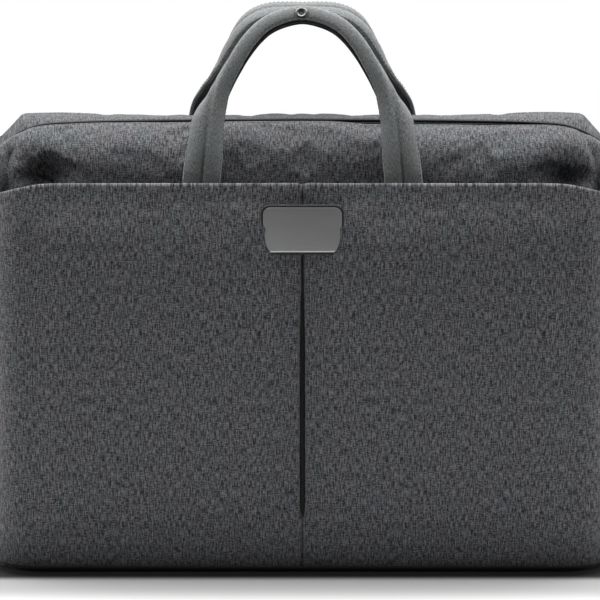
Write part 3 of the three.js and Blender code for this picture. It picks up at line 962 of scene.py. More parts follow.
class Palette:
    """Every finish of the bag, built once."""

    def __init__(self) -> None:
        """Builds the materials."""
        self.charcoal = MelangeWeave(
            "charcoal_melange", grey(0.012, 0.1), grey(0.25, 0.07), bias=0.52,
        ).build()
        self.handle = MelangeWeave(
            "handle_weave", grey(0.09, 0.06, 0.04), grey(0.28, 0.05, 0.04), pitch=0.55, slub=2.5,
            relief=0.14, roughness=0.8, sheen=0.3,
        ).build()
        self.under_grip = MelangeWeave(
            "under_grip_cloth", grey(0.03, 0.05), grey(0.06, 0.05), pitch=0.6, slub=3.0, relief=0.2,
        ).build()
        # Nearly black: the base's own dark cloth, made darker still as painted shade along the bag's bottom edge.
        self.base = MelangeWeave(
            "base_cloth", grey(0.004, 0.05), grey(0.012, 0.05), pitch=0.9, slub=3.0, relief=0.3,
        ).build()
        self.lining = MelangeWeave(
            "grey_lining", grey(0.04, 0.1), grey(0.09, 0.12), pitch=0.5, slub=8.0, relief=0.12,
            roughness=0.7,
        ).build()
        self.solid_weave = MelangeWeave(
            "anchor_weave", grey(0.05, 0.05, 0.03), grey(0.105, 0.04, 0.04), pitch=0.6, slub=5.0,
            relief=0.2, on_cloth=False,
        ).build()
        self.solid_lining = MelangeWeave(
            "lining_weave", grey(0.04, 0.1), grey(0.09, 0.12), pitch=0.5, slub=8.0, relief=0.12,
            roughness=0.7, on_cloth=False,
        ).build()
        self.tape = RibbedTape("zip_tape_weave", grey(0.014, 0.04), grey(0.045, 0.04)).build()
        self.webbing = RibbedTape("ribbed_webbing", grey(0.014, 0.04), grey(0.07, 0.04), rib=1.6).build()
        self.thread = MelangeWeave(
            "charcoal_thread", grey(0.05, 0.05), grey(0.14, 0.05), pitch=0.4, slub=1.5, relief=0.1,
            on_cloth=False,
        ).build()
        self.coil = Moulded("zip_coil", grey(0.003), grey(0.006), roughness=0.6).build()
        self.slot_coil = Moulded("slot_coil", grey(0.4, 0.05), grey(0.6, 0.05), roughness=0.7).build()
        self.black = Moulded("satin_black_frame", grey(0.006), grey(0.012), roughness=0.42).build()
        self.board = Moulded("stiffening_board", grey(0.02), grey(0.035), roughness=0.8, relief=0.1).build()
        # Both metals carry a painted reflection: lighter on the left of the bag, darker on the right.
        self.steel = BrushedMetal("brushed_plate", grey(0.8), grey(1.0), roughness=0.38).build()
        self.nickel = BrushedMetal(
            "dark_nickel", grey(0.08), grey(0.16), roughness=0.32, lines=0.5, length=0.5, relief=0.004,
        ).build()
        # The paper's second and third colours are painted shadow round and under the bag.
        self.paper = Backdrop("pale_paper", grey(0.8), grey(0.37), grey(0.03)).build()


def dress(piece: bpy.types.Object, finish: bpy.types.Material, body: Optional[str], slot: str,
          *nodes: str) -> bpy.types.Object:
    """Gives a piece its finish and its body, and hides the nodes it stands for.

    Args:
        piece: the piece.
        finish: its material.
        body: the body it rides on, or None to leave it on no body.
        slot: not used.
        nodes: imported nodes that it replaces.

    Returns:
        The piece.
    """
    piece.data.materials.clear()
    piece.data.materials.append(finish)
    if nodes:
        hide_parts(*nodes)
    if body is not None:
        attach(piece, body)
    LOG.info("made %s", piece.name)
    return piece


# ------------------------------------------------------------------ main compartment


@dataclass(frozen=True)
class ZipLine:
    """The main zip's line, up one end of the bag, over its shoulder and along the top."""

    points: tuple[Row, ...] = (
        (211.2, 252.8), (210.8, 259), (209.6, 265), (206.8, 271), (201.6, 276.8), (193, 283.2),
        (183, 288.2), (173, 291.1), (150, 292.8), (100, 293.9), (0, 294.7),
    )

    def half(self, count: int = 240) -> Array:
        """The right half from the foot to the middle, as even (x, z) points."""
        return curve_through(self.points, count)

    def height(self, x: Any) -> Any:
        """Height of the line at a distance from the middle."""
        line = self.half()[::-1]
        return np.interp(np.abs(x), line[:, 0], line[:, 1])

    def whole(self, count: int) -> Array:
        """The line from the left foot to the right foot, as (x, 0, z) points."""
        right = self.half()
        left = right * (-1, 1)
        both = np.vstack([left, right[::-1][1:]])
        return evenly(np.stack([both[:, 0], np.zeros(len(both)), both[:, 1]], axis=1), count)


@dataclass(frozen=True)
class Dent:
    """A soft hollow in a panel, as a bell over X and Z."""

    x: float
    z: float
    depth: float
    wide: float
    tall: float

    def at(self, x: Array, z: Array) -> Array:
        """How deep the hollow is at each place."""
        return self.depth * bell(self.x, self.wide, x) * bell(self.z, self.tall, z)


@dataclass
class Compartment:
    """One long half of the main compartment: its wall, half of each end, and its half of the mouth."""

    face: Face
    palette: Palette
    wall: float
    squareness: float
    lift: float
    corner: float
    lip: float = 3.2
    crown: float = 0.0
    roof: float = 296.9
    fold: float = 252.0
    thickness: float = 2.5
    zip_line: ZipLine = field(default_factory=ZipLine)
    dents: tuple[Dent, ...] = ()
    seam_depth: float = 6.5
    columns: int = 300
    low_rows: int = 30
    high_rows: int = 40

    def outline(self, z: Array, s: Array) -> tuple[Array, Array]:
        """Plan outline of the half at a height.

        Args:
            z: heights.
            s: place round the half from -1 at the left end's middle to 1 at the right end's.

        Returns:
            X and Y of each place.
        """
        middle, half = 8.0, 46.0
        away = np.abs(s)
        reach = abs(self.wall)
        swell = END_SWELL * mix(0.25, 1.0, ease(0, 110, z))

        def end(depth: Array) -> Array:
            """How far out the end stands at a distance from the middle plane."""
            place = np.clip(depth, 0, reach) * np.sign(self.face.value)
            share = np.clip((place - middle + half) / (2 * half), 0, 1)
            return END_REACH + swell * np.sin(math.pi * share) ** END_ROUNDNESS

        flat = 0.8
        bend = 0.88
        corner_depth = 11
        straight = reach - corner_depth
        x_flat, x_start = away / flat * 191, 191.0
        corner = np.clip((away - flat) / (bend - flat), 0, 1)
        side = np.clip((away - bend) / (1 - bend), 0, 1)
        exit_x = end(np.full_like(z, straight))
        x_bend = (1 - corner) ** 2 * x_start + 2 * corner * (1 - corner) * (exit_x + 0.5) + corner**2 * exit_x
        y_bend = (1 - corner) ** 2 * reach + 2 * corner * (1 - corner) * reach + corner**2 * straight
        depth = mix(straight, self.lip, side)
        x = np.where(away < flat, x_flat, np.where(away < bend, x_bend, end(depth)))
        y = np.where(away < flat, reach, np.where(away < bend, y_bend, depth))
        tuck = 3.0 * (1 - ease(0, 9, z))
        return np.sign(s) * (x - tuck), self.face.value * (y - tuck * (away < bend))

    def lip_point(self, s: Array) -> tuple[Array, Array]:
        """Where the cloth's edge meets the zip, in X and Z."""
        away = np.abs(s)
        flat = 0.8
        line = self.zip_line.half()
        start = 182.0
        steps = np.linalg.norm(np.diff(line, axis=0), axis=1)
        along = np.concatenate([[0], np.cumsum(steps)])
        at_foot = float(np.interp(262.0, line[:, 1], along))
        at_start = float(np.interp(-start, -line[:, 0], along))
        share = np.clip((away - flat) / (1 - flat), 0, 1)
        place = mix(at_start, at_foot, share)
        x = np.where(away < flat, away / flat * start, np.interp(place, along, line[:, 0]))
        z = np.where(away < flat, self.zip_line.height(x), np.interp(place, along, line[:, 1]))
        return np.sign(s) * x, z

    def surface(self, u: Array, v: Array) -> Array:
        """Outer surface of the half.

        Args:
            u: 0 at one end's middle, 1 at the other's.
            v: 0 at the floor, 0.5 at the fold, 1 at the zip.

        Returns:
            The points.
        """
        s = (2 * u - 1) * -self.face.value
        z = np.clip(v / 0.5, 0, 1) * self.fold
        x, y = self.outline(z, s)
        turn = np.clip((v - 0.5) / 0.5, 0, 1) * math.pi / 2
        power = 2 / self.squareness
        out, up = np.cos(turn).clip(0) ** power, np.sin(turn).clip(0) ** power
        lip_x, lip_z = self.lip_point(s)
        lip_z = lip_z + self.lift * ease(0.0, 0.3, 1 - np.abs(s)) - self.sag(lip_x)
        crown = self.crown + self.corner * bell(0.8, 0.13, np.abs(s))
        crown = crown * ease(0.0, 0.35, out) * ease(0.0, 0.3, up)
        high_x = mix(lip_x, x, out)
        high_y = mix(self.face.value * self.lip, y, out)
        high_z = self.fold + (lip_z - self.fold) * up + crown
        if self.crown > 0:
            roof = np.minimum(self.roof, self.roof - 3.2 - 1.1 * (np.abs(high_x) - 191.5))
            gap = high_z - roof
            high_z = high_z - (gap + np.sqrt(gap * gap + 0.5)) / 2
        upper = v > 0.5
        return np.stack(
            [np.where(upper, high_x, x), np.where(upper, high_y, y), np.where(upper, high_z, z)], axis=-1,
        )

    def sag(self, x: Array) -> Array:
        """How far the edge beside the zip hangs low; the front one gapes a little on the right."""
        if self.face is Face.REAR:
            return np.zeros_like(x)
        return 1.9 * ease(15, 45, x) * (1 - ease(120, 165, x))

    def shaped(self, grid: Array) -> Array:
        """Adds the hollows, waves and corner seams that the sewn cloth takes."""
        normals = grid_normals(grid)
        x, y, z = grid[..., 0], grid[..., 1], grid[..., 2]
        inward = sum((dent.at(x, z) for dent in self.dents), np.zeros_like(x))
        inward = inward * ease(0.35, 0.75, np.abs(normals[..., 1]))
        free = ease(0, 10, z) * (1 - ease(285, 292, z) * 0.7)
        waves = 0.9 * undulation(x + y * 0.6, z, 85, 3 + self.face.value) * free
        waves += 0.35 * undulation(x - y * 0.5, z, 32, 9 + self.face.value) * free
        seam = self.wall_seam(grid) * self.seam_depth
        return grid + normals * (waves - inward - seam)[..., None]

    def wall_seam(self, grid: Array) -> Array:
        """1 along the seam that joins the wall to the ends, fading to either side."""
        columns = grid.shape[1]
        s = np.abs(np.linspace(-1, 1, columns))
        fade = 1 - ease(*((250, 256) if self.face is Face.REAR else (276, 286)), grid[..., 2])
        return np.broadcast_to(bell(0.812, 0.012, s), grid.shape[:2]) * ease(0, 14, grid[..., 2]) * fade

    def build(self) -> None:
        """Builds the cloth and its topstitching."""
        settling = Settling(pressure=2.2, slack=0.01, cap=3.5, rows=52, columns=96)

        def held(u: Array, v: Array) -> Array:
            """Held by the zip, the floor seam and everything below the fold, free above it."""
            free = ease(0.40, 0.56, v) * (1 - ease(0.93, 0.99, v))
            corner = 1 - 0.75 * bell(0.862, 0.03, np.abs(2 * u - 1))
            return 1 - 0.97 * free * corner

        moved = settling.settle(self.surface, held)
        lower = np.linspace(0, 0.5, self.low_rows, endpoint=False)
        rows = np.concatenate([lower, np.linspace(0.5, 1, self.high_rows)])
        u, v = np.meshgrid(np.linspace(0, 1, self.columns), rows)
        even = moved(self.low_rows + self.high_rows, self.columns)
        grid = self.shaped(self.surface(u, v) + even)
        name = self.face.word
        cloth = thick_sheet(f"{name}_compartment_cloth", grid, self.thickness)
        gusset = "side_gusset_left" if self.face is Face.FRONT else "side_gusset_right"
        dress(cloth, self.palette.charcoal, None, "charcoal_cloth", f"{name}_wall", f"{name}_mouth_panel",
              f"{name}_mouth_cheek_left", f"{name}_mouth_cheek_right", gusset)
        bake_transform(cloth)
        self.topstitch(grid)

    def topstitch(self, grid: Array) -> None:
        """Sews the row of stitches that runs beside the zip."""
        normals = grid_normals(grid)
        steps = np.linalg.norm(np.diff(grid[::-1], axis=0, prepend=grid[-1:]), axis=2)
        from_lip = np.cumsum(steps, axis=0)[::-1]
        distance = 5.2
        line, ups = [], []
        for i in range(4, grid.shape[1] - 4):
            j = int(np.argmin(np.abs(from_lip[:, i] - distance)))
            if grid[j, i, 2] > self.fold + 8:
                line.append(grid[j, i])
                ups.append(normals[j, i])
        name = f"{self.face.word}_zip_topstitch"
        row = stitches(name, softened(np.array(line)[None], 3)[0], np.array(ups))
        dress(row, self.palette.thread, f"{self.face.word}_mouth", "charcoal_cloth")


@dataclass
class MainZip:
    """The zip round the mouth: two tapes, two rows of coil, and the closed tails down both ends."""

    palette: Palette
    zip_line: ZipLine = field(default_factory=ZipLine)
    drop: float = 2.9
    tape: float = 8.5
    pitch: float = 1.3

    def build(self) -> None:
        """Builds both halves and the tails."""
        for face in Face:
            self.half(face)
        for side in Side:
            self.tail(side)

    def frames(self, count: int) -> tuple[Array, Array]:
        """The zip's line and its outward direction."""
        line = self.zip_line.whole(count)
        tangent = unit(np.gradient(line, axis=0))
        outward = np.stack([-tangent[:, 2], np.zeros(count), tangent[:, 0]], axis=1)
        return line, outward

    def half(self, face: Face) -> None:
        """Builds one tape and its row of coil."""
        line, outward = self.frames(260)
        columns = np.linspace(0.25, self.tape, 5)
        base = line - outward * self.drop
        grid = np.stack([base + np.array([0, face.value * c, 0]) - outward * 0.02 * c**1.5 for c in columns])
        if face is Face.FRONT:
            grid = grid[::-1]
        tape = thick_sheet(f"{face.word}_main_zip_tape", grid, 0.7)
        dress(tape, self.palette.tape, f"{face.word}_mouth", "zip_tape", f"{face.word}_zip_tape")
        total = float(np.linalg.norm(np.diff(line, axis=0), axis=1).sum())
        count = int(total / self.pitch)
        dense, out = self.frames(count * 2 + 1)
        offset = 1 if face is Face.FRONT else 0
        side = np.array([0, face.value * 1.4, 0])
        core = round_tube("coil_core", line - outward * (self.drop - 0.7) + side, 0.75, 8, reference=(0, 1, 0))
        teeth = coil_teeth(
            "coil_teeth", dense[offset::2] - out[offset::2] * (self.drop - 0.9), out[offset::2],
            np.array([0, float(face.value), 0]), self.pitch,
        )
        edge = np.array([0, face.value * 2.5, 0])
        piping = round_tube("zip_piping", line + outward * 0.15 + edge, 0.95, 8, reference=(0, 1, 0))
        teeth = join(f"{face.word}_main_zip_coil", [teeth, core, piping])
        dress(teeth, self.palette.coil, f"{face.word}_mouth", "zip_plastic", f"{face.word}_zip_teeth")

    def tail(self, side: Side) -> None:
        """Builds the closed stretch of zip down one end."""
        node = f"side_zip_{side.word}"
        low, high = (np.array(corner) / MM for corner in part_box(node))
        outer = high[0] if side is Side.RIGHT else low[0]
        sign = side.value
        z = np.linspace(low[2] + 3, high[2], 24)
        across = np.linspace(-7, 7, 9)
        grid = np.stack([[(outer - sign * 3.6, sign * y, h) for y in across] for h in z])
        tape = thick_sheet(f"side_zip_tape_{side.word}", grid, 0.7)
        rows = np.arange(low[2] + 4, high[2], self.pitch / 2)
        out = np.tile([float(sign), 0, 0], (len(rows), 1))
        halves = []
        for half in Face:
            pick = slice(0 if half is Face.REAR else 1, None, 2)
            centres = np.stack([np.full(len(rows), outer - sign * 2.4), np.zeros(len(rows)), rows], axis=1)
            sideways = np.array([0, float(half.value), 0])
            halves.append(coil_teeth("side_coil", centres[pick], out[pick], sideways, self.pitch))
        coil = join(f"side_zip_coil_{side.word}", halves)
        dress(tape, self.palette.tape, "bag", "zip_tape", node)
        dress(coil, self.palette.coil, "bag", "zip_plastic")


def coil_teeth(name: str, centres: Array, outward: Array, sideways: Array, pitch: float) -> bpy.types.Object:
    """Row of zip teeth, each a small rounded hook that reaches over the middle.

    Args:
        name: the object's name.
        centres: where each tooth crosses the middle.
        outward: the zip's outward direction at each tooth.
        sideways: direction from the middle to the teeth's own tape.
        pitch: distance between two teeth of the row.

    Returns:
        The row.
    """
    points, faces = [], []
    profile = ((-0.9, -0.3), (-0.9, 0.3), (-0.5, 0.62), (2.4, 0.5), (2.4, -0.5), (-0.5, -0.62))
    thick = pitch * 0.29
    for centre, up in zip(centres, outward):
        along = np.cross(up, sideways)
        start = len(points)
        for shift, shrink in ((-thick, 0.75), (-thick * 0.5, 1.0), (thick * 0.5, 1.0), (thick, 0.75)):
            for a, b in profile:
                points.append(centre + along * shift + sideways * a * (0.92 + 0.08 * shrink) + up * b * shrink)
        faces += quads(4, len(profile), start, around=True)
        faces.append(tuple(start + k for k in range(len(profile)))[::-1])
        faces.append(tuple(start + 3 * len(profile) + k for k in range(len(profile))))
    piece = make_object(name, np.array(points), faces, smooth=False)
    outward_faces(piece)
    return piece


# ------------------------------------------------------------------ pockets


@dataclass
class FrontPocket:
    """The front pocket: two cloth halves that meet at a hidden zip down the middle."""

    palette: Palette
    half_width: float = 203.6
    corner: float = 24.0
    wall: float = -38.3
    depth: float = 27.0
    top: float = 254.6
    dip: float = 0.22
    slot_low: float = 41.0
    slot_high: float = 239.0
    slot_gap: float = 1.75
    rows: int = 110
    columns: int = 100

    def reach(self, z: Array) -> Array:
        """How far the panel stands in front of the compartment at each height."""
        swell = 2.2 * np.sin(math.pi * np.clip(z / 245, 0, 1)) ** 0.9
        lean = -3.0 * ease(225, 258, z)
        tuck = -11.0 * np.clip(1 - z / 30, 0, 1) ** 2
        under = -4.5 * (1 - np.sqrt(np.clip(1 - np.clip(1 - z / 5, 0, 1) ** 2, 0, 1)))
        return self.depth + swell + lean + tuck + under

    def surface(self, u: Array, v: Array) -> Array:
        """Right-hand half of the panel.

        Args:
            u: 0 at the slot, 1 where the panel meets the compartment.
            v: 0 at the floor, 1 at the top edge.

        Returns:
            The points.
        """
        straight = self.half_width - self.corner
        along = u * (straight + math.pi / 2 * self.corner)
        turn = np.clip((along - straight) / self.corner, 0, None)
        past = along - 170
        edge = self.top - self.dip * (past + np.sqrt(past * past + 40)) / 2
        rise = 5.4 + 2.4 * ease(170, 212, along)
        z = rise + (edge - rise) * v
        x = np.where(turn > 0, straight + self.corner * np.sin(turn), along)
        gap = mix(0.1, self.slot_gap, self.slot_open(z))
        x = np.maximum(x, 0) + gap * (1 - ease(0, 8, along))
        reach = self.reach(z) * np.cos(turn)
        return np.stack([x, self.wall - reach, z], axis=-1)

    def slot_open(self, z: Array) -> Array:
        """1 where the slot is open, 0 where the halves are sewn together."""
        past_low = ease(self.slot_low - 4, self.slot_low + 3, z)
        past_high = ease(self.slot_high - 2, self.slot_high + 2, z)
        ends = past_low * (1 - past_high)
        return ends * mix(1.0, 0.45, ease(150, 205, z))

    def shaped(self, grid: Array, side: Side) -> Array:
        """Adds the rolled edge at the slot, the sewn valley and the cloth's slow waves."""
        normals = grid_normals(grid)
        x, z = np.abs(grid[..., 0]), grid[..., 2]
        near = np.clip(x - mix(0.1, self.slot_gap, self.slot_open(z)), 0, None)
        roll = mix(1.5, 2.2, self.slot_open(z))
        fold = roll * (1 - np.sqrt(np.clip(1 - np.clip(1 - near / roll, 0, 1) ** 2, 0, 1)))
        pull = 0.5 * np.exp(-near / 6) * (1 - self.slot_open(z))
        free = ease(0, 25, near) * ease(0, 22, z) * (1 - ease(225, 250, z) * 0.6)
        seed = 20 + side.value
        waves = 0.8 * undulation(x, z, 120, seed) * free + 0.3 * undulation(x, z, 42, seed + 5) * free
        ridge = 0.5 * bell(14, 8, near) * self.slot_open(z)
        return grid + normals * (waves + ridge - fold - pull)[..., None]

    def build(self) -> None:
        """Builds both halves."""
        for number, side in enumerate(Side):
            settling = Settling(pressure=1.6 + 0.2 * number, slack=0.008, cap=3.0, rows=40, columns=36)

            def held(u: Array, v: Array) -> Array:
                """Held at the slot, the floor and the end; the top edge is only stiffened."""
                free = ease(0.0, 0.12, u) * (1 - ease(0.86, 0.97, u)) * ease(0.0, 0.07, v)
                return 1 - 0.96 * free * (1 - 0.9 * ease(0.93, 1.0, v))

            moved = settling.settle(self.surface, held)
            spread = np.linspace(0, 1, self.columns)
            u, v = np.meshgrid(mix(spread**1.6, spread, 0.55), np.linspace(0, 1, self.rows))
            grid = self.surface(u, v) + moved(self.rows, self.columns)
            grid = self.shaped(grid, side)
            hem = 2.5 + 1.5 * ease(0.965, 0.985, v)
            if side is Side.LEFT:
                grid = grid[:, ::-1] * (-1, 1, 1)
                hem = hem[:, ::-1]
            panel = thick_sheet(f"front_pocket_cloth_{side.word}", grid, hem)
            dress(panel, self.palette.charcoal, "bag", "charcoal_cloth", f"front_pocket_panel_{side.word}")


@dataclass
class HiddenZip:
    """The zip in the slot of the front pocket, with its slider parked under the nameplate."""

    palette: Palette

    def build(self) -> None:
        """Builds the tape, coil, a light cord along the slot, slider and puller."""
        low, high = (np.array(corner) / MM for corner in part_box("slot_zip_tape"))
        z = np.linspace(low[2], high[2], 60)
        across = np.linspace(low[0], high[0], 17)
        lips = [[(x, low[1] + 0.1 - 2.6 * bell(0.0, 2.6, x), h) for x in across] for h in z]
        tape = thick_sheet("slot_tape", np.array(lips), 0.7)
        dress(tape, self.palette.tape, "bag", "zip_tape", "slot_zip_tape")
        low, high = (np.array(corner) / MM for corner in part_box("slot_zip_teeth"))
        pitch = 1.9
        rows = np.arange(low[2] + 1, high[2], pitch / 2)
        out = np.tile([0, -1.0, 0], (len(rows), 1))
        centres = np.stack([np.zeros(len(rows)), np.full(len(rows), low[1] - 3.6), rows], axis=1)
        halves = [coil_teeth("slot_half", centres[k::2], out[k::2], np.array([float(side.value), 0, 0]), pitch)
                  for k, side in enumerate(Side)]
        coil = join("slot_coil", halves)
        heights = np.linspace(low[2] + 12, 195, 60)
        sunk = 3.0 * ease(150, 195, heights) + 2.0 * (1 - ease(50, 62, heights))
        spine = np.stack([np.zeros(60), low[1] - 1.6 + sunk * 0.5, heights], axis=1)
        ridge = round_tube("slot_ridge", spine, 0.6, 10, reference=(0, 1, 0))
        dress(ridge, self.palette.slot_coil, "bag", "zip_plastic")
        dress(coil, self.palette.coil, "bag", "zip_plastic", "slot_zip_teeth")
        low, high = (np.array(corner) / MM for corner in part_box("slot_zip_slider"))
        slider = block("slot_slider_body", low, high, 0.6)
        dress(slider, self.palette.nickel, "slot_slider", "gunmetal", "slot_zip_slider")
        low, high = (np.array(corner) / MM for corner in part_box("slot_zip_puller"))
        puller = block("slot_puller_tab", low, high, 0.5)
        dress(puller, self.palette.black, "slot_slider", "zip_plastic", "slot_zip_puller")


@dataclass
class Nameplate:
    """Blank brushed plate in a raised black frame, held through the cloth by two posts."""

    palette: Palette

    def build(self) -> None:
        """Builds the frame, the plate and the washers."""
        low, high = (np.array(corner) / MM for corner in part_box("nameplate_bezel"))
        plate_low, plate_high = (np.array(corner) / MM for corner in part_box("nameplate"))
        width, height = high[0] - low[0], high[2] - low[2]
        centre = ((low[0] + high[0]) / 2, low[1], (low[2] + high[2]) / 2)
        deep = -(plate_low[1] - low[1]) - 1.6
        rows = [(0.9, -3.4), (0.0, -2.6), (0.0, -0.7), (0.12, -0.3), (0.38, -0.06), (0.75, 0.0), (1.0, -0.05),
                (1.2, -0.25), (1.32, -0.6), (1.36, deep)]
        bezel = pressed_plate("nameplate_frame", width, height, 6.0, rows, centre)
        sign = 18.0
        post_profile = [(0, 0), (1.4, 0), (1.4, 5.4), (0, 5.4)]
        posts = [turned("post", post_profile, (side.value * sign, low[1] + 2.2, centre[2]),
                        (0, 1, 0), 16) for side in Side]
        frame_piece = join("nameplate_frame", [bezel, *posts])
        dress(frame_piece, self.palette.black, "bag", "black_plastic", "nameplate_bezel")
        width, height = plate_high[0] - plate_low[0], plate_high[2] - plate_low[2]
        centre = ((plate_low[0] + plate_high[0]) / 2, plate_low[1], (plate_low[2] + plate_high[2]) / 2)
        rows = [(0.2, -1.25), (0.0, -1.1), (0.0, -0.35), (0.1, -0.12), (0.35, 0.0), (0.6, 0.02), (8.0, 0.03)]
        plate = pressed_plate("nameplate_plate", width, height, 4.6, rows, centre)
        dress(plate, self.palette.steel, "bag", "brushed_plate", "nameplate")
        for side in Side:
            node = f"nameplate_washer_{side.word}"
            low, high = (np.array(corner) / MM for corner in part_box(node))
            middle = (low + high) / 2
            thick = high[1] - low[1]
            washer = turned(f"plate_washer_{side.word}",
                            [(1.8, 0), (4.7, 0), (5.0, 0.3), (5.0, thick), (1.8, thick), (1.8, 0)],
                            (middle[0], low[1], middle[2]), (0, 1, 0), 28)
            dress(washer, self.palette.nickel, "bag", "gunmetal", node)


@dataclass
class RearPocket:
    """Flat slip pocket across the rear."""

    palette: Palette
    half_width: float = 202.0
    corner: float = 20.0
    wall: float = 54.3
    depth: float = 14.3
    top: float = 250.0

    def surface(self, u: Array, v: Array) -> Array:
        """The panel from its right edge to its left, seen from behind left to right.

        Args:
            u: 0 at the right-hand end, 1 at the left-hand one.
            v: 0 at the floor, 1 at the top edge.

        Returns:
            The points.
        """
        straight = self.half_width - self.corner
        quarter = math.pi / 2 * self.corner
        along = mix(straight + quarter, -straight - quarter, u)
        turn = np.clip((np.abs(along) - straight) / self.corner, 0, None)
        x = np.where(turn > 0, np.sign(along) * (straight + self.corner * np.sin(turn)), along)
        z = v * (self.top - 5 * ease(160, 215, np.abs(along)))
        curl = np.sqrt(np.clip(1 - np.clip(1 - z / 12, 0, 1) ** 2, 0, 1))
        reach = mix(3.0, self.depth, curl) + 1.5 * np.sin(math.pi * v) - 3.5 * ease(0.5, 1, v)
        return np.stack([x, self.wall + reach * np.cos(turn), z], axis=-1)

    def build(self) -> None:
        """Builds the panel and its hem stitching."""
        settling = Settling(pressure=1.8, slack=0.01, cap=3.0, rows=40, columns=64)

        def held(u: Array, v: Array) -> Array:
            """Held along the floor and both ends; the top edge is only stiffened."""
            away = np.abs(2 * u - 1)
            return 1 - 0.96 * (1 - ease(0.86, 0.97, away)) * ease(0, 0.07, v) * (1 - 0.9 * ease(0.93, 1, v))

        moved = settling.settle(self.surface, held)
        rows, columns = 90, 170
        u, v = np.meshgrid(np.linspace(0, 1, columns), np.linspace(0, 1, rows))
        grid = self.surface(u, v) + moved(rows, columns)
        normals = grid_normals(grid)
        x, z = grid[..., 0], grid[..., 2]
        waves = 0.8 * undulation(x, z, 110, 31) + 0.3 * undulation(x, z, 45, 33)
        grid = grid + normals * (waves * ease(0, 20, z))[..., None]
        panel = thick_sheet("rear_pocket_cloth", grid, 2.5 + 1.5 * ease(0.965, 0.985, v))
        dress(panel, self.palette.charcoal, "bag", "charcoal_cloth", "rear_pocket_panel")
        hem = int(np.argmin(np.abs(v[:, 0] - 0.945)))
        row = stitches("rear_pocket_topstitch", grid[hem, 3:-3], grid_normals(grid)[hem, 3:-3])
        dress(row, self.palette.thread, "bag", "charcoal_cloth")


# ------------------------------------------------------------------ carrying handles


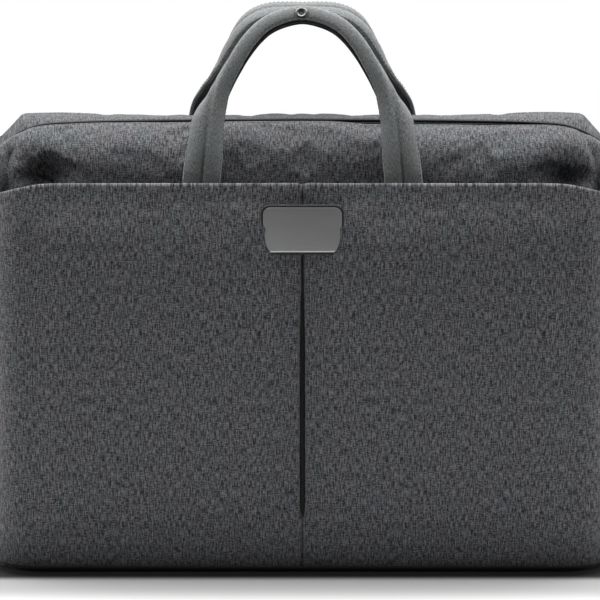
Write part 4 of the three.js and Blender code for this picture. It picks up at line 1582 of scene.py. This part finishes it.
@dataclass
class Handle:
    """Padded carrying handle: flat and two-channelled at its ends, folded along its groove at the grip.

    The spine gives half of the strap's centre line as (x, z). The other tables go by height: lean is
    the line's Y; opening is half the angle between the two folded halves, in degrees; facing turns the
    groove from away from the hand (0) to away from the bag (90).
    """

    face: Face
    palette: Palette
    spine: tuple[Row, ...]
    lean: tuple[Row, ...]
    opening: tuple[Row, ...]
    facing: tuple[Row, ...]
    stud_reach: float
    binding: float = 1.0
    gather: float = 0.8
    half_width: float = 12.4
    fold: float = 8.0
    padding: float = 2.6
    thin: float = 0.9
    steps: int = 190
    across: int = 15

    @property
    def body(self) -> str:
        """The body that the grip rides on."""
        return f"{self.face.word}_handle"

    def frames(self, count: int) -> tuple[Array, Array, Array]:
        """Centre line from the right end to the left one.

        Returns:
            The points, the groove's outward directions and the directions of the width.
        """
        half = [(x, float(lookup(self.lean, z)), z) for x, z in self.spine]
        path = curve_through(half + [(-x, y, z) for x, y, z in half[-2::-1]], count)
        tangent = unit(np.gradient(path, axis=0))
        away = np.array([0.0, self.face.value, 0.0])
        outward = unit(np.cross(away, tangent) * self.face.value)
        facing = unit(np.cross(tangent, outward))
        facing *= np.where(facing[:, 1:2] * self.face.value < 0, -1, 1)
        turn = np.radians(lookup(self.facing, path[:, 2]))[:, None]
        out = outward * np.cos(turn) + facing * np.sin(turn)
        along = -outward * np.sin(turn) + facing * np.cos(turn)
        return path, out, along

    def gathered(self, z: float) -> float:
        """0 on the flat ends of the strap, 1 where it is folded tight for the hand."""
        return float(ease(296, 322, z))

    def section(self, z: float, reach: Array, height: Array) -> Array:
        """Points of the folded strap's section.

        Args:
            z: height of the section's place on the handle.
            reach: signed distance from the groove along the strap's width.
            height: distance off the strap's middle surface, outwards.

        Returns:
            The points as (out, along) pairs.
        """
        turn = math.pi - 2 * math.radians(float(lookup(self.opening, z)))
        grip = self.gathered(z)
        reach = reach * mix(1.0, self.gather, grip)
        height = height * mix(1.0, 0.8, grip)
        fine = np.linspace(0, self.half_width + 6, 80)
        heading = turn * np.minimum(0.5, fine / mix(self.fold, 5.5, grip))
        step = fine[1]
        n = -np.concatenate([[0], np.cumsum(np.sin((heading[1:] + heading[:-1]) / 2) * step)])
        w = np.concatenate([[0], np.cumsum(np.cos((heading[1:] + heading[:-1]) / 2) * step)])
        side, away = np.sign(reach), np.abs(reach)
        bent = np.interp(away, fine, heading)
        out = np.interp(away, fine, n) + height * np.cos(bent)
        along = side * (np.interp(away, fine, w) + height * np.sin(bent))
        return np.stack([out, along], axis=1)

    def profile(self, reach: Array, padding: float, edge: float = 0.0) -> Array:
        """Height of the padded channels over the strap's middle surface."""
        centre = self.half_width / 2 + 0.2
        channel = np.clip(1 - (np.abs(np.abs(reach) - centre) / (centre - 0.2)) ** 2.0, 0, 1) ** 0.5
        return self.thin + padding * channel - edge * ease(self.half_width - 1, self.half_width, np.abs(reach))

    def swept(self, name: str, reach: Array, outer: Array, inner: Array, grip: float = 1.0) -> bpy.types.Object:
        """Sweeps a section with the given outer and inner heights along the handle.

        The section is grip times as wide at the grip.
        """
        path, out, along = self.frames(self.steps)
        flow = np.concatenate([[0], np.cumsum(np.linalg.norm(np.diff(path, axis=0), axis=1))])
        sections, cloth = [], []
        both = np.concatenate([reach, reach[::-1]])
        heights = np.concatenate([outer, inner[::-1]])
        for height, place in zip(path[:, 2], flow):
            wide = both * float(mix(1.0, grip, self.gathered(height)))
            sections.append(self.section(height, wide, heights))
            cloth.append(np.stack([both * 1.1 + 40 * (heights < 0), np.full(len(both), place)], axis=1))
        return tube(name, path, np.array(sections), out, along, cloth=np.array(cloth))

    def build(self) -> None:
        """Builds the strap, its lining, its edge stitching and the press stud."""
        name = self.face.word
        reach = self.half_width * np.sin(np.linspace(-math.pi / 2, math.pi / 2, 2 * self.across + 1))
        strap = self.swept(f"{name}_grip_strap", reach, self.profile(reach, self.padding, 0.6),
                           -self.profile(reach, 0.7, 0.6))
        self.bend(dress(strap, self.palette.handle, None, "handle_cloth", f"{name}_handle_strap"))
        inner = reach * 0.86
        under = self.profile(inner, 0.7)
        lining = self.swept(f"{name}_grip_lining", inner, -under - 0.05, -under - 0.6, self.binding)
        self.bend(dress(lining, self.palette.under_grip, None, "lining_cloth", f"{name}_handle_lining"))
        self.edge_stitching()
        self.press_stud()

    def bend(self, piece: bpy.types.Object) -> None:
        """Bakes a piece's placement into its mesh."""
        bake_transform(piece)

    def edge_stitching(self) -> None:
        """Sews a row of stitches inside both edges of the strap."""
        path, out, along = self.frames(self.steps)
        rows = []
        for side in Side:
            reach = np.array([side.value * (self.half_width - 1.3)])
            height = self.profile(reach, self.padding)
            line, ups = [], []
            for place, n, w in zip(path, out, along):
                low, high = (self.section(place[2], reach, height + lift)[0] for lift in (0, 1))
                point = place + n * low[0] + w * low[1]
                line.append(point)
                ups.append(place + n * high[0] + w * high[1] - point)
            rows.append(stitches("edge_row", np.array(line), np.array(ups), pitch=2.9, length=2.0, radius=0.26))
        row = join(f"{self.face.word}_grip_stitching", rows)
        self.bend(dress(row, self.palette.thread, None, "handle_cloth"))

    def on_grip(self, reach: float, lift: float) -> Array:
        """Point over the strap at the middle of the grip, at a signed reach from the groove."""
        path, out, along = self.frames(self.steps)
        middle = self.steps // 2
        place = path[middle]
        height = self.profile(np.array([reach]), self.padding) + lift
        n, w = self.section(place[2], np.array([reach]), height)[0]
        return place + out[middle] * n + along[middle] * w

    def press_stud(self) -> None:
        """Sets the press stud's ring near the edge of the grip's visible half."""
        reach = self.stud_reach
        centre, above = self.on_grip(reach, -0.7), self.on_grip(reach, 0.3)
        axis = unit(above - centre)
        profile = [(1.5, 0.0), (1.6, 1.1), (2.3, 1.7), (3.3, 1.8), (4.2, 1.4), (4.7, 0.7), (4.8, 0.0),
                   (4.6, -0.7), (1.5, -0.7), (1.5, 0.0)]
        ring = turned(f"{self.face.word}_stud_ring", profile, centre, axis, 40)
        dress(ring, self.palette.nickel, self.body, "gunmetal")
        middle_profile = [(0, -0.4), (1.55, -0.4), (1.55, 0.2), (0.8, 0.45), (0, 0.5)]
        middle = turned(f"{self.face.word}_stud_middle", middle_profile,
                        centre, axis, 28)
        dress(middle, self.palette.coil, self.body, "zip_plastic")


@dataclass
class HandleAnchor:
    """Stitched patch that holds a handle's end against the wall, behind the pocket."""

    palette: Palette
    tuck: float = 0.5

    def build(self) -> None:
        """Builds the four anchor patches with their crossed stitching."""
        for face in Face:
            for side in Side:
                self.patch(face, side)

    def patch(self, face: Face, side: Side) -> None:
        """Builds one patch."""
        node = f"{face.word}_handle_anchor_{side.word}"
        low, high = (np.array(corner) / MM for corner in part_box(node))
        piece = block(f"{face.word}_anchor_patch_{side.word}", low, high, self.tuck)
        dress(piece, self.palette.solid_weave, "bag", "handle_cloth", node)
        y = low[1] if face is Face.FRONT else high[1]
        x0, x1, z0, z1 = low[0] + 3, high[0] - 3, low[2] + 3, low[2] + 22
        loop = np.array([(x0, z0), (x1, z0), (x1, z1), (x0, z1), (x0, z0), (x1, z1), (x1, z0), (x0, z1)])
        line = evenly(np.stack([loop[:, 0], np.full(len(loop), y), loop[:, 1]], axis=1), 120)
        ups = np.tile([0.0, face.value, 0.0], (len(line), 1))
        row = stitches(f"{face.word}_anchor_stitching_{side.word}", line, ups)
        dress(row, self.palette.thread, "bag", "handle_cloth")


# ------------------------------------------------------------------ base, ends and hardware


@dataclass
class Base:
    """Floor panel with piping round its edge, and the stiff board inside."""

    palette: Palette
    corner: float = 25.0
    piping: float = 1.5

    def outline(self, inset: float, count: int) -> Array:
        """The floor's outline as (x, y) pairs, anticlockwise."""
        low, high = (np.array(corner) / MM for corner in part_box("base_panel"))
        middle = (low + high) / 2
        width, depth = high[0] - low[0] - 2 * inset, high[1] - low[1] - 2 * inset
        outline = rounded_outline(width, depth, max(self.corner - inset, 1), 14) + middle[:2]
        return evenly(np.vstack([outline, outline[:1]]), count + 1)[:-1]

    def build(self) -> None:
        """Builds the floor, its piping and the board."""
        low, high = (np.array(corner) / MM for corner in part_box("base_panel"))
        count = 160
        rows = [(10, low[2] + 0.05), (2.5, low[2] + 0.02), (0.9, low[2] + 0.25), (0.2, low[2] + 0.9), (0, 1.4),
                (0.2, 1.9), (0.9, high[2] - 0.1), (2.5, high[2]), (10, high[2])]
        rings, cloth = [], []
        for inset, z in rows:
            line = self.outline(inset, count)
            rings.append(np.column_stack([line, np.full(count, z)]))
            cloth.append(line)
        faces = quads(len(rows), count, around=True)
        last = (len(rows) - 1) * count
        faces += [tuple(range(count))[::-1], tuple(last + i for i in range(count))]
        panel = make_object("base_cloth", np.vstack(rings), faces, np.vstack(cloth))
        outward_faces(panel)
        dress(panel, self.palette.base, "bag", "dark_cloth", "base_panel")
        line = self.outline(0.2, 240)
        path = np.column_stack([line, np.full(len(line), 1.6)])
        piping = round_tube("base_piping", path, self.piping, 10, closed=True, reference=(0, 0, 1))
        dress(piping, self.palette.base, "bag", "dark_cloth")
        low, high = (np.array(corner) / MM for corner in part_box("base_board"))
        board = block("floor_board", low, high, 0.6)
        dress(board, self.palette.board, "bag", "board", "base_board")


@dataclass
class EndHardware:
    """What each end of the bag carries: zip slider and puller, D-ring, its tab and the seam webbing."""

    palette: Palette
    wire: float = 1.6

    def build(self) -> None:
        """Builds both ends."""
        for side in Side:
            self.webbing(side)
            self.slider(side)
            self.puller(side)
            self.tab(side)
            self.ring(side)

    def webbing(self, side: Side) -> None:
        """Builds the webbing band that covers the end's middle seam below the zip."""
        sign = side.value
        z = np.linspace(1.5, 193, 70)
        across = np.linspace(-10, 10, 11)
        proud = 0.35
        grid = []
        for h in z:
            swell = END_SWELL * float(mix(0.25, 1.0, ease(0, 110, h)))
            inward = 3.0 * (1 - float(ease(0, 9, h)))
            share = np.clip((across + 37.5) / 91, 0, 1)
            x = END_REACH + swell * np.sin(math.pi * share) ** END_ROUNDNESS - inward + proud
            grid.append([(sign * px, sign * y, h) for px, y in zip(x, across)])
        band = thick_sheet(f"end_webbing_{side.word}", np.array(grid), 1.1)
        dress(band, self.palette.webbing, "bag", "dark_cloth")
        line = np.array(grid)
        rows = []
        for column in (1, len(across) - 2):
            ups = np.tile([float(sign), 0, 0], (len(z), 1))
            rows.append(stitches("band_row", line[:, column], ups))
        dress(join(f"end_webbing_stitching_{side.word}", rows), self.palette.thread, "bag", "dark_cloth")

    def slider(self, side: Side) -> None:
        """Builds the main zip's slider: a waisted body with a bridge that holds the puller."""
        node = f"zip_slider_{side.word}"
        low, high = (np.array(corner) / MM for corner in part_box(node))
        sign, inner = side.value, (low[0] if side is Side.RIGHT else high[0])
        middle = (low[2] + high[2]) / 2

        def at(depth: float) -> float:
            """X at a distance out from the slider's inner face."""
            return inner + sign * depth

        half = (high[2] - low[2]) / 2
        outline = [(-3.2, -half), (3.2, -half), (4.1, -half + 1.2), (3.5, 0), (4.4, half - 2.4), (4.0, half - 0.5),
                   (2.0, half), (0, half - 1.6), (-2.0, half), (-4.0, half - 0.5), (-4.4, half - 2.4), (-3.5, 0),
                   (-4.1, -half + 1.2)]
        rings = []
        for depth in (0.0, 2.1):
            rings.append([(at(depth), y, middle + z) for y, z in outline])
        count = len(outline)
        caps = [tuple(range(count))[::-1], tuple(count + i for i in range(count))]
        faces = quads(2, count, around=True) + caps
        plate = make_object("slider_plate", np.array(rings).reshape(-1, 3), faces)
        outward_faces(plate)
        round_edges(plate, 0.35)
        arch = [(1.6, -3.4), (3.0, -3.5), (4.1, -2.9), (4.62, -1.6), (4.7, 0), (4.62, 1.6), (4.1, 2.9),
                (3.0, 3.5), (1.6, 3.4)]
        path = evenly(np.array([(at(depth), 0, middle + z) for depth, z in arch]), 32)
        bridge = round_tube("slider_bridge", path, 0.55, 10, reference=(0, 1, 0.01))
        body = join(f"zip_slider_body_{side.word}", [plate, bridge])
        dress(body, self.palette.nickel, node, "gunmetal", node)

    def puller(self, side: Side) -> None:
        """Builds the flat puller, with its eye round the slider's bridge."""
        node = f"zip_puller_{side.word}"
        low, high = (np.array(corner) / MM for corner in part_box(node))
        middle_x = (low[0] + high[0]) / 2
        thick = (high[0] - low[0]) / 2
        top, bottom = high[2], low[2]
        outer = [(1.6, top), (2.6, top - 0.6), (2.9, top - 2), (2.5, top - 7.5), (3.4, top - 12), (3.4, bottom + 2.4),
                 (2.6, bottom + 0.6), (1.2, bottom)]
        loop = outer + [(-y, z) for y, z in outer[::-1]]
        hole_top, hole_low = 215.4, 209.4
        hole = [(0.9, hole_top), (1.6, hole_top - 0.8), (1.8, hole_top - 2), (1.8, hole_low + 2.5),
                (1.8, hole_low + 1.6),
                (1.7, hole_low + 0.9), (1.4, hole_low + 0.35), (0.7, hole_low)]
        inside = hole + [(-y, z) for y, z in hole[::-1]]
        rings = []
        for edge, depth in ((loop, -thick), (loop, thick), (inside, thick), (inside, -thick)):
            rings.append([(middle_x + depth, y, z) for y, z in edge])
        count = len(loop)
        faces = quads(4, count, around=True)
        faces += [(3 * count + i, 3 * count + (i + 1) % count, (i + 1) % count, i) for i in range(count)]
        piece = make_object(f"zip_pull_{side.word}", np.array(rings).reshape(-1, 3), faces)
        outward_faces(piece)
        round_edges(piece, 0.25)
        dress(piece, self.palette.nickel, node, "gunmetal", node)

    def tab(self, side: Side) -> None:
        """Builds the webbing tab: a loop round the D-ring's straight side, sewn down above it."""
        node = f"d_ring_tab_{side.word}"
        low, high = (np.array(corner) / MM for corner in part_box(node))
        sign = side.value
        face = low[0] if side is Side.RIGHT else high[0]
        loop_x, loop_z = face + sign * 4.0, 172.0
        line = [(face + sign * 1.1, high[2]), (face + sign * 1.1, loop_z + 8)]
        for turn in np.radians(np.linspace(40, -180, 19)):
            line.append((loop_x + sign * 3.0 * math.cos(turn), loop_z + 3.0 * math.sin(turn)))
        line += [(face + sign * 0.75, loop_z + 4), (face + sign * 0.55, high[2])]
        path = evenly(np.array([(x, 0, z) for x, z in line]), 90)
        tangent = unit(np.gradient(path, axis=0))
        normal = np.cross(tangent, [0.0, 1.0, 0.0]) * sign
        half, thick = 8.0, 0.45
        section = np.array([(-half, -thick), (-half - 0.3, 0), (-half, thick), (0, thick * 1.05), (half, thick),
                            (half + 0.3, 0), (half, -thick), (0, -thick)])
        sections = np.broadcast_to(section, (len(path), len(section), 2))
        across = np.tile([0.0, 1.0, 0.0], (len(path), 1))
        flow = np.arange(len(path))[:, None] * 0.6
        cloth = np.stack([np.broadcast_to(section[:, 0], (len(path), len(section))),
                          np.broadcast_to(flow, (len(path), len(section)))], axis=-1)
        band = tube(f"ring_tab_{side.word}", path, sections, across, normal, cloth=cloth)
        dress(band, self.palette.webbing, "bag", "dark_cloth", node)
        box = [(-6, high[2] - 2), (6, high[2] - 2), (6, high[2] - 9), (-6, high[2] - 9), (-6, high[2] - 2)]
        row = evenly(np.array([(face + sign * 1.6, y, z) for y, z in box]), 80)
        ups = np.tile([float(sign), 0, 0], (len(row), 1))
        dress(stitches(f"ring_tab_stitching_{side.word}", row, ups), self.palette.thread, "bag", "dark_cloth")

    def ring(self, side: Side) -> None:
        """Builds the D-ring from round wire."""
        node = f"d_ring_{side.word}"
        low, high = (np.array(corner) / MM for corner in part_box(node))
        middle = (low[0] + high[0]) / 2
        half = (high[1] - low[1]) / 2 - self.wire
        top, bottom = 172.0, low[2] + self.wire
        round_off = 3.0
        path = [(-half + round_off, 0.0), (half - round_off, 0.0)]
        for turn in np.linspace(0, math.pi, 25):
            path.append((half * math.cos(turn), -round_off - (top - bottom - round_off) * math.sin(turn)))
        line = np.array([(middle, y, top + z) for y, z in path])
        closed = np.vstack([line, line[:1]])
        even = evenly(closed, 97)[:-1]
        even = np.array([np.mean([even[(i + k) % 96] for k in (-1, 0, 1)], axis=0) for i in range(96)])
        tangent = unit(np.roll(even, -1, axis=0) - np.roll(even, 1, axis=0))
        across = np.tile([1.0, 0.0, 0.0], (96, 1))
        sections = np.broadcast_to(circle(self.wire * 0.98, 14), (96, 14, 2))
        ring = tube(f"strap_ring_{side.word}", even, sections, across, np.cross(tangent, across), closed=True)
        dress(ring, self.palette.nickel, node, "gunmetal", node)


# ------------------------------------------------------------------ inside


@dataclass
class Interior:
    """Lining, padded laptop divider with its strap, and the organiser pocket."""

    palette: Palette

    def build(self) -> None:
        """Builds everything inside the main compartment."""
        self.lining()
        self.divider()
        self.strap()
        self.organiser()

    def lining(self) -> None:
        """Builds the lining as one open-topped bag of thin cloth with gentle folds."""
        low, high = (np.array(corner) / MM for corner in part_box("main_lining"))
        width, depth = high[0] - low[0] - 1.0, high[1] - low[1] - 1.0
        middle = (low + high) / 2
        outline = rounded_outline(width, depth, 9, 10)
        outline = evenly(np.vstack([outline, outline[:1]]), 261)[:-1]
        z = np.linspace(low[2] + 1, high[2] - 0.5, 60)
        rings, cloth = [], []
        flow = np.concatenate([[0], np.cumsum(np.linalg.norm(np.diff(outline, axis=0), axis=1))])
        inward = unit(-outline)
        for rise in z:
            ripple = 0.35 * undulation(flow, np.full_like(flow, rise), 60, 51)
            ring = outline + inward * (0.4 + ripple)[:, None]
            rings.append(np.column_stack([ring + middle[:2], np.full(len(ring), rise)]))
            cloth.append(np.column_stack([flow, np.full(len(ring), rise)]))
        inner = [ring + np.column_stack([inward, np.zeros(len(ring))]) * 0.6 for ring in rings]
        count = len(outline)
        inner[0] = inner[0] + (0, 0, 0.6)
        points = np.vstack(rings + inner[::-1])
        faces = quads(2 * len(z), count, around=True)
        last = (2 * len(z) - 1) * count
        faces += [tuple(range(count))[::-1], tuple(last + i for i in range(count))]
        piece = make_object("compartment_lining", points, faces, np.vstack(cloth + cloth[::-1]))
        outward_faces(piece)
        dress(piece, self.palette.lining, "bag", "lining_cloth", "main_lining")

    def divider(self) -> None:
        """Builds the padded divider with a quilted edge."""
        low, high = (np.array(corner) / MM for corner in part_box("laptop_divider"))
        size = (high - low) / 2
        middle = (low + high) / 2
        columns, rows = 90, 60
        u, v = np.meshgrid(np.linspace(-1, 1, columns), np.linspace(-1, 1, rows))
        x, z = middle[0] + u * size[0], middle[2] + v * size[2]
        edge = np.minimum((1 - np.abs(u)) * size[0], (1 - np.abs(v)) * size[2])
        puff = 0.45 + 0.55 * ease(0, 5, edge) - 0.35 * bell(7, 1.6, edge)
        grid = np.stack([x, middle[1] - size[1] * puff, z], axis=-1)
        piece = thick_sheet("padded_divider", grid, 2 * size[1] * puff)
        dress(piece, self.palette.lining, "bag", "lining_cloth", "laptop_divider")

    def strap(self) -> None:
        """Builds the strap that hooks over the divider."""
        low, high = (np.array(corner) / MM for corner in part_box("laptop_strap"))
        top = high[2] - 0.7
        line = [(high[1] - 0.7, 200), (high[1] - 0.7, top - 2), (high[1] - 2.7, top), (low[1] + 2.7, top),
                (low[1] + 0.7, top - 2), (low[1] + 0.7, low[2])]
        path = evenly(np.array([(0, y, z) for y, z in line]), 80)
        tangent = unit(np.gradient(path, axis=0))
        across = np.tile([1.0, 0.0, 0.0], (len(path), 1))
        half, thick = (high[0] - low[0]) / 2, 0.6
        section = np.array([(-half, -thick), (-half, thick), (0, thick), (half, thick), (half, -thick), (0, -thick)])
        sections = np.broadcast_to(section, (len(path), len(section), 2))
        piece = tube("divider_strap", path, sections, across, np.cross(tangent, across))
        dress(piece, self.palette.webbing, "bag", "zip_tape", "laptop_strap")

    def organiser(self) -> None:
        """Builds the open organiser pocket and the seam that divides it."""
        low, high = (np.array(corner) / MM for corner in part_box("organiser_pocket"))
        width, depth = high[0] - low[0], high[1] - low[1]
        middle = (low + high) / 2
        outline = rounded_outline(width, depth, 2.2, 6)
        count = len(outline)
        rings = []
        for rise in np.linspace(low[2], high[2], 30):
            sag = 1.0 - 0.25 * float(bell(high[2], 18, rise))
            rings.append(np.column_stack([outline * (1, sag) + middle[:2], np.full(count, rise)]))
        for rise in np.linspace(high[2], low[2] + 1.2, 30):
            sag = 1.0 - 0.25 * float(bell(high[2], 18, rise))
            shrunk = (outline - np.sign(outline) * (1.0, 0.9)) * (1, sag)
            rings.append(np.column_stack([shrunk + middle[:2], np.full(count, rise)]))
        faces = quads(len(rings), count, around=True)
        last = (len(rings) - 1) * count
        faces += [tuple(range(count))[::-1], tuple(last + i for i in range(count))]
        points = np.vstack(rings)
        piece = make_object("inner_organiser", points, faces, points[:, [0, 2]])
        outward_faces(piece)
        dress(piece, self.palette.lining, "bag", "lining_cloth", "organiser_pocket")
        z = np.linspace(low[2] + 2, high[2] - 3, 60)
        line = np.stack([np.full(60, -20.0), np.full(60, high[1] + 0.1), z], axis=1)
        seam = stitches("organiser_seam", line, np.tile([0, 1.0, 0], (60, 1)))
        dress(seam, self.palette.thread, "bag", "lining_cloth")


# ------------------------------------------------------------------ studio


@dataclass
class Studio:
    """White table and surround, soft light from above and the sides, and a long lens a little over level."""

    palette: Palette
    target: tuple[float, float, float] = (-1.6, -55.0, 180.0)
    distance: float = 2000.0
    elevation: float = 5.8
    lens: float = 184.5

    def build(self) -> None:
        """Builds the floor, the lights, the world and the camera."""
        self.floor()
        self.world()
        self.light("overhead_softbox", (0, 120, 1500), (0, -20, 200), (1.8, 0.7), 38)
        self.light("left_softbox", (-1500, -500, 500), (0, 0, 200), (0.6, 1.0), 4.5)
        self.light("right_softbox", (1500, -500, 500), (0, 0, 200), (0.6, 1.0), 3.4)
        self.camera()
        view = bpy.context.scene.view_settings
        view.view_transform = "Standard"
        view.look = "None"

    def floor(self) -> None:
        """Builds the table top, which ends not far in front of the bag."""
        x, y = np.meshgrid(np.linspace(-6000, 6000, 41), np.linspace(-420, 1500, 41))
        points = np.stack([x, y, np.zeros_like(x)], axis=-1).reshape(-1, 3)
        floor = make_object("floor_sweep", points, quads(41, 41))
        floor.data.materials.append(self.palette.paper)

    def world(self) -> None:
        """Sets a white surround that is brightest overhead and dim towards the camera."""
        world = bpy.data.worlds.new("studio_world")
        graph = Graph(world)
        direction = graph.node("ShaderNodeTexCoord", None, None, "Generated")
        _, y, z = graph.split(direction)
        level = y.ramp(-0.3, 0.25, 0.03, 1.0)
        strength = level + z.ramp(0.55, 1.0, 0.0, 1.1)
        background = graph.node("ShaderNodeBackground", None, {"Color": (1, 1, 1, 1), "Strength": strength})
        output = graph.tree.nodes.new("ShaderNodeOutputWorld")
        graph.tree.links.new(background.socket, output.inputs["Surface"])
        bpy.context.scene.world = world

    def light(self, name: str, place: Sequence[float], target: Sequence[float], size: Row, power: float) -> None:
        """Adds a soft rectangular light aimed at a target."""
        data = bpy.data.lights.new(name, "AREA")
        data.shape = "RECTANGLE"
        data.size, data.size_y = size
        data.energy = power
        lamp = bpy.data.objects.new(name, data)
        lamp.location = np.asarray(place) * MM
        self.aim(lamp, target)
        bpy.context.scene.collection.objects.link(lamp)

    def camera(self) -> None:
        """Sets the camera."""
        data = bpy.data.cameras.new("long_lens")
        data.sensor_width = 36
        data.lens = self.lens
        data.clip_end = 50
        camera = bpy.data.objects.new("long_lens", data)
        rise = math.radians(self.elevation)
        offset = np.array([0, -math.cos(rise), math.sin(rise)]) * self.distance
        camera.location = (np.array(self.target) + offset) * MM
        self.aim(camera, self.target)
        bpy.context.scene.collection.objects.link(camera)
        bpy.context.scene.camera = camera

    @staticmethod
    def aim(item: bpy.types.Object, target: Sequence[float]) -> None:
        """Turns an object's -Z towards a target."""
        direction = Vector(np.asarray(target, float) * MM) - item.location
        item.rotation_euler = direction.to_track_quat("-Z", "Y").to_euler()


# ------------------------------------------------------------------ the bag


FRONT_HANDLE = {
    "spine": ((66.2, 252.4), (65.6, 260), (64.5, 271), (63.4, 284), (61.6, 297.8), (59.2, 308), (56.4, 317.8),
              (53, 325.4), (48.6, 333.2), (42.4, 343.2), (34.8, 352.8), (26, 360.4), (14.8, 365.6), (0, 368.4)),
    "lean": ((252, -42), (262, -42), (280, -40.8), (300, -37.5), (330, -31), (369, -22)),
    "opening": ((252, 88), (262, 84), (279, 62), (295, 48), (306, 36), (316, 24), (325, 12), (335, 8), (371, 8)),
    "facing": ((252, 90), (296, 86), (306, 74), (314, 52), (322, 26), (332, 6), (345, -8), (358, -18), (369, -24)),
    "stud_reach": 8.6,
    "binding": 1.32,
}
REAR_HANDLE = {
    "spine": ((66.2, 252.4), (66.2, 275), (65.6, 290), (63.8, 301), (60.5, 312), (57.5, 322), (54.5, 332), (51, 342),
              (46.4, 350.6), (39.6, 358.8), (31, 364.6), (22, 367.4), (11, 368), (0, 367.8)),
    "lean": ((252, 58), (288, 58), (300, 55.2), (320, 48), (345, 36.5), (370, 23)),
    "opening": ((252, 88), (286, 86), (298, 74), (310, 56), (322, 44), (334, 44), (345, 60), (354, 74), (362, 80),
                (374, 80)),
    "facing": ((252, 90), (304, 90), (316, 76), (328, 52), (338, 24), (348, -4), (358, -20), (370, -24)),
    "stud_reach": -8.6,
    "gather": 0.9,
}


def main() -> None:
    """Builds the whole bag and its studio."""
    logging.basicConfig(level=logging.INFO, format="%(message)s", stream=sys.stdout)
    for item in list(bpy.data.objects):
        bpy.data.objects.remove(item)
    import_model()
    palette = Palette()
    front_dents = tuple(Dent(x, 259, 14.0, 17, 13) for x in (-169, 172))
    Compartment(Face.FRONT, palette, wall=38.0, squareness=2.0, lift=-0.4, corner=0, dents=front_dents).build()
    Compartment(Face.REAR, palette, wall=54.0, squareness=4.5, lift=1.0, corner=11, crown=2.2).build()
    MainZip(palette).build()
    FrontPocket(palette).build()
    HiddenZip(palette).build()
    Nameplate(palette).build()
    RearPocket(palette).build()
    Handle(Face.FRONT, palette, **FRONT_HANDLE).build()
    Handle(Face.REAR, palette, **REAR_HANDLE).build()
    HandleAnchor(palette).build()
    Base(palette).build()
    EndHardware(palette).build()
    Interior(palette).build()
    Studio(palette).build()


if __name__ == "__main__":
    main()
